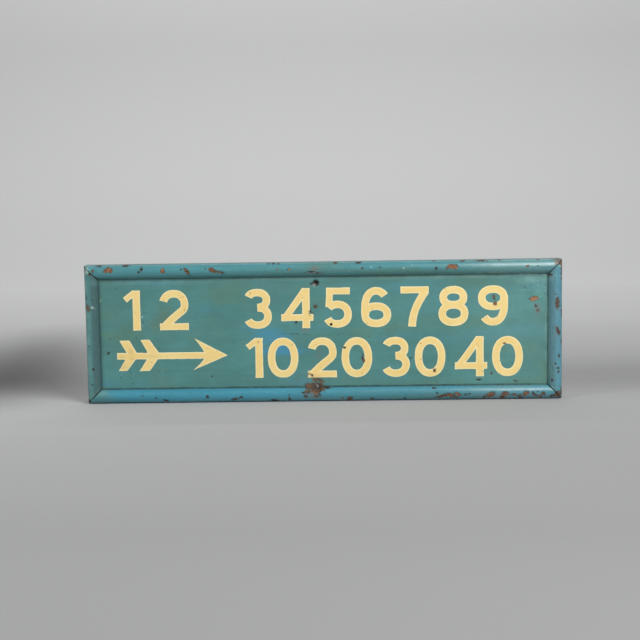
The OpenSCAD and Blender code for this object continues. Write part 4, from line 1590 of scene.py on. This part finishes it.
def add_camera(looks, middle):
    """Camera at its bearing from the middle of the sign, turned to face it and rolled."""
    data = bpy.data.cameras.new("camera")
    data.sensor_width = 36
    data.lens = looks.lens
    data.shift_x, data.shift_y = looks.shift_x, looks.shift_y
    camera = bpy.data.objects.new("camera", data)
    roll = looks.roll
    back = bearing(looks.azimuth, looks.elevation)
    right = (-back).cross(Vector((0, 0, 1))).normalized()
    up = right.cross(-back)
    turned_right = right * math.cos(roll) + up * math.sin(roll)
    turned_up = up * math.cos(roll) - right * math.sin(roll)
    place = Matrix((turned_right, turned_up, back)).transposed().to_4x4()
    place.translation = middle + back * looks.distance
    camera.matrix_world = place
    bpy.context.scene.collection.objects.link(camera)
    bpy.context.scene.camera = camera


class SIGN_OT_stage(bpy.types.Operator):
    """Sets up the pale sweep, the soft lamps, the world and the camera"""

    bl_idname = "sign.stage"
    bl_label = "Stage"

    def execute(self, context):
        looks = context.scene.sign_stage
        scene = context.scene
        middle = Vector((0, 0, BOARD_H / 2))
        sweep = make_piece("studio_sweep", *sweep_mesh())
        sweep.data.materials.append(sweep_material(looks))
        lamp("key_softbox", looks.key, (1.0, 0.85), looks.key_azimuth, 32, 1.8, middle)
        lamp("side_softbox", looks.side, (0.5, 0.6), -49, 30, 1.8, middle)
        lamp("strip_softbox", looks.strip, (0.5, 0.8), 25, 54, 1.7, middle)
        lamp("wall_softbox", looks.wall, (3.6, 0.5), 0, 60, 1.6, Vector((0, SWEEP_WALL_Y, 0.6)))
        world = bpy.data.worlds.new("studio_air")
        world.use_nodes = True
        air = world.node_tree.nodes["Background"].inputs
        air["Color"].default_value = (*looks.air_tone, 1)
        air["Strength"].default_value = looks.air
        scene.world = world
        add_camera(looks, middle)
        scene.view_settings.view_transform = "Standard"
        return {"FINISHED"}


def number_prop(name, description, default, **more):
    """A number, plain where nothing more is said."""
    return FloatProperty(name=name, description=description, default=default, **more)


def length_prop(name, description, default, **limits):
    """A length in m."""
    return number_prop(name, description, default, unit="LENGTH", precision=4, **limits)


def angle_prop(name, description, degrees):
    """An angle, given in degrees."""
    return number_prop(name, description, math.radians(degrees), subtype="ANGLE")


def colour_prop(name, description, default):
    """A linear colour."""
    limits = {"subtype": "COLOR", "min": 0, "max": 1}
    return FloatVectorProperty(name=name, description=description, default=default, **limits)


class SignBoard(bpy.types.PropertyGroup):
    grid_step: length_prop("Grid step", "Spacing of the face's grid", 1.5 * MM, min=0.5 * MM)
    light_tone: colour_prop("Light paint", "Lighter tone of the face", srgb(79, 136, 134))
    dark_tone: colour_prop("Dark paint", "Darker tone of the face", srgb(73, 125, 121))
    green_tone: colour_prop("Green patches", "Older green coat", srgb(88, 122, 104))
    blue_tone: colour_prop("Blue patches", "Blue coat that shows through", srgb(66, 138, 170))


class SignBeading(bpy.types.PropertyGroup):
    grid_step: length_prop("Grid step", "Spacing of a bead's grid", 0.8 * MM, min=0.4 * MM)
    chip_depth: length_prop("Chip depth", "How deep a chip goes into a bead", 0.3 * MM, min=0, max=0.6 * MM)
    streak_depth: number_prop("Streaks", "Darker streaks as a share of the tone", 0.86, min=0, max=1)
    # Each bead's tone is its paint, lighter or darker by side as painted light and shade
    top_tone: colour_prop("Top bead", "Paint of the top bead", srgb(78, 140, 147))
    bottom_tone: colour_prop("Bottom bead", "Paint of the bottom bead", srgb(68, 141, 161))
    left_tone: colour_prop("Left bead", "Paint of the left bead", srgb(78, 130, 130))
    right_tone: colour_prop("Right bead", "Paint of the right bead", srgb(82, 143, 160))


class SignFigures(bpy.types.PropertyGroup):
    stem: length_prop("Stem", "Width of a figure's stroke", 10.6 * MM)
    grid_step: length_prop("Grid step", "Spacing of the paint's grid", 0.8 * MM, min=0.5 * MM)
    thickness: length_prop("Thickness", "Thickness of the cream paint", 0.16 * MM)
    cream: colour_prop("Cream", "Cream paint", srgb(239, 213, 144))
    ochre: colour_prop("Ochre", "Cream paint where it lies thick", srgb(235, 203, 128))
    rim: colour_prop("Rim", "Cream paint near the rims of a stroke", srgb(241, 229, 182))


class SignPins(bpy.types.PropertyGroup):
    rust: colour_prop("Rust", "Rust on the pins", srgb(92, 60, 42))
    paint: colour_prop("Paint", "Paint over the hidden pins", srgb(78, 124, 130))


class SignStage(bpy.types.PropertyGroup):
    wall_tone: colour_prop("Wall", "Paper high on the wall", srgb(210, 210, 211))
    air_tone: colour_prop("Air", "Colour of the even light", (0.78, 0.79, 0.8))
    air: number_prop("Air light", "Strength of the even light", 0.43, min=0)
    key: number_prop("Key", "Power of the softbox at the right front", 22, min=0)
    key_azimuth: number_prop("Key bearing", "Bearing of that softbox in degrees", 35)
    side: number_prop("Side", "Power of the softbox at the left front", 7.5, min=0)
    strip: number_prop("Strip", "Power of the small softbox that the beads mirror", 4, min=0)
    wall: number_prop("Wall light", "Power of the softbox on the wall", 24, min=0)
    lens: number_prop("Lens", "Focal length of the camera in mm", 78.75, min=10)
    distance: length_prop("Distance", "From the middle of the sign to the camera", 1.91)
    azimuth: angle_prop("Azimuth", "Camera to the right", 1.69)
    elevation: angle_prop("Elevation", "Camera above", 6.48)
    roll: angle_prop("Roll", "Turn of the picture", -0.94)
    shift_x: number_prop("Shift across", "Camera shift", -0.0047, precision=4)
    shift_y: number_prop("Shift up", "Camera shift", 0.0178, precision=4)


class SIGN_PT_panel(bpy.types.Panel):
    """Lists the sign's operators and settings"""

    bl_idname = "SIGN_PT_panel"
    bl_label = "Painted Direction Board"
    bl_space_type = "VIEW_3D"
    bl_region_type = "UI"
    bl_category = "Sign"

    def draw(self, context):
        for operator, settings in STEPS:
            box = self.layout.box()
            box.operator(operator.bl_idname)
            group = getattr(context.scene, settings)
            for name in group.__annotations__:
                box.prop(group, name)


STEPS = [
    (SIGN_OT_stage, "sign_stage"),
    (SIGN_OT_back_board, "sign_board"),
    (SIGN_OT_beading, "sign_beading"),
    (SIGN_OT_figures, "sign_figures"),
    (SIGN_OT_arrow, "sign_figures"),
    (SIGN_OT_pins, "sign_pins"),
]
SETTINGS = {
    "sign_board": SignBoard,
    "sign_beading": SignBeading,
    "sign_figures": SignFigures,
    "sign_pins": SignPins,
    "sign_stage": SignStage,
}


def register():
    for name, group in SETTINGS.items():
        bpy.utils.register_class(group)
        setattr(bpy.types.Scene, name, PointerProperty(type=group))
    for operator, _ in STEPS:
        bpy.utils.register_class(operator)
    bpy.utils.register_class(SIGN_PT_panel)


def unregister():
    bpy.utils.unregister_class(SIGN_PT_panel)
    for operator, _ in reversed(STEPS):
        bpy.utils.unregister_class(operator)
    for name, group in reversed(SETTINGS.items()):
        delattr(bpy.types.Scene, name)
        bpy.utils.unregister_class(group)


def main():
    """Makes the sign and its stage."""
    register()
    bpy.ops.sign.stage()
    bpy.ops.sign.back_board()
    bpy.ops.sign.beading()
    bpy.ops.sign.figures()
    bpy.ops.sign.arrow()
    bpy.ops.sign.pins()


if __name__ == "__main__":
    main()
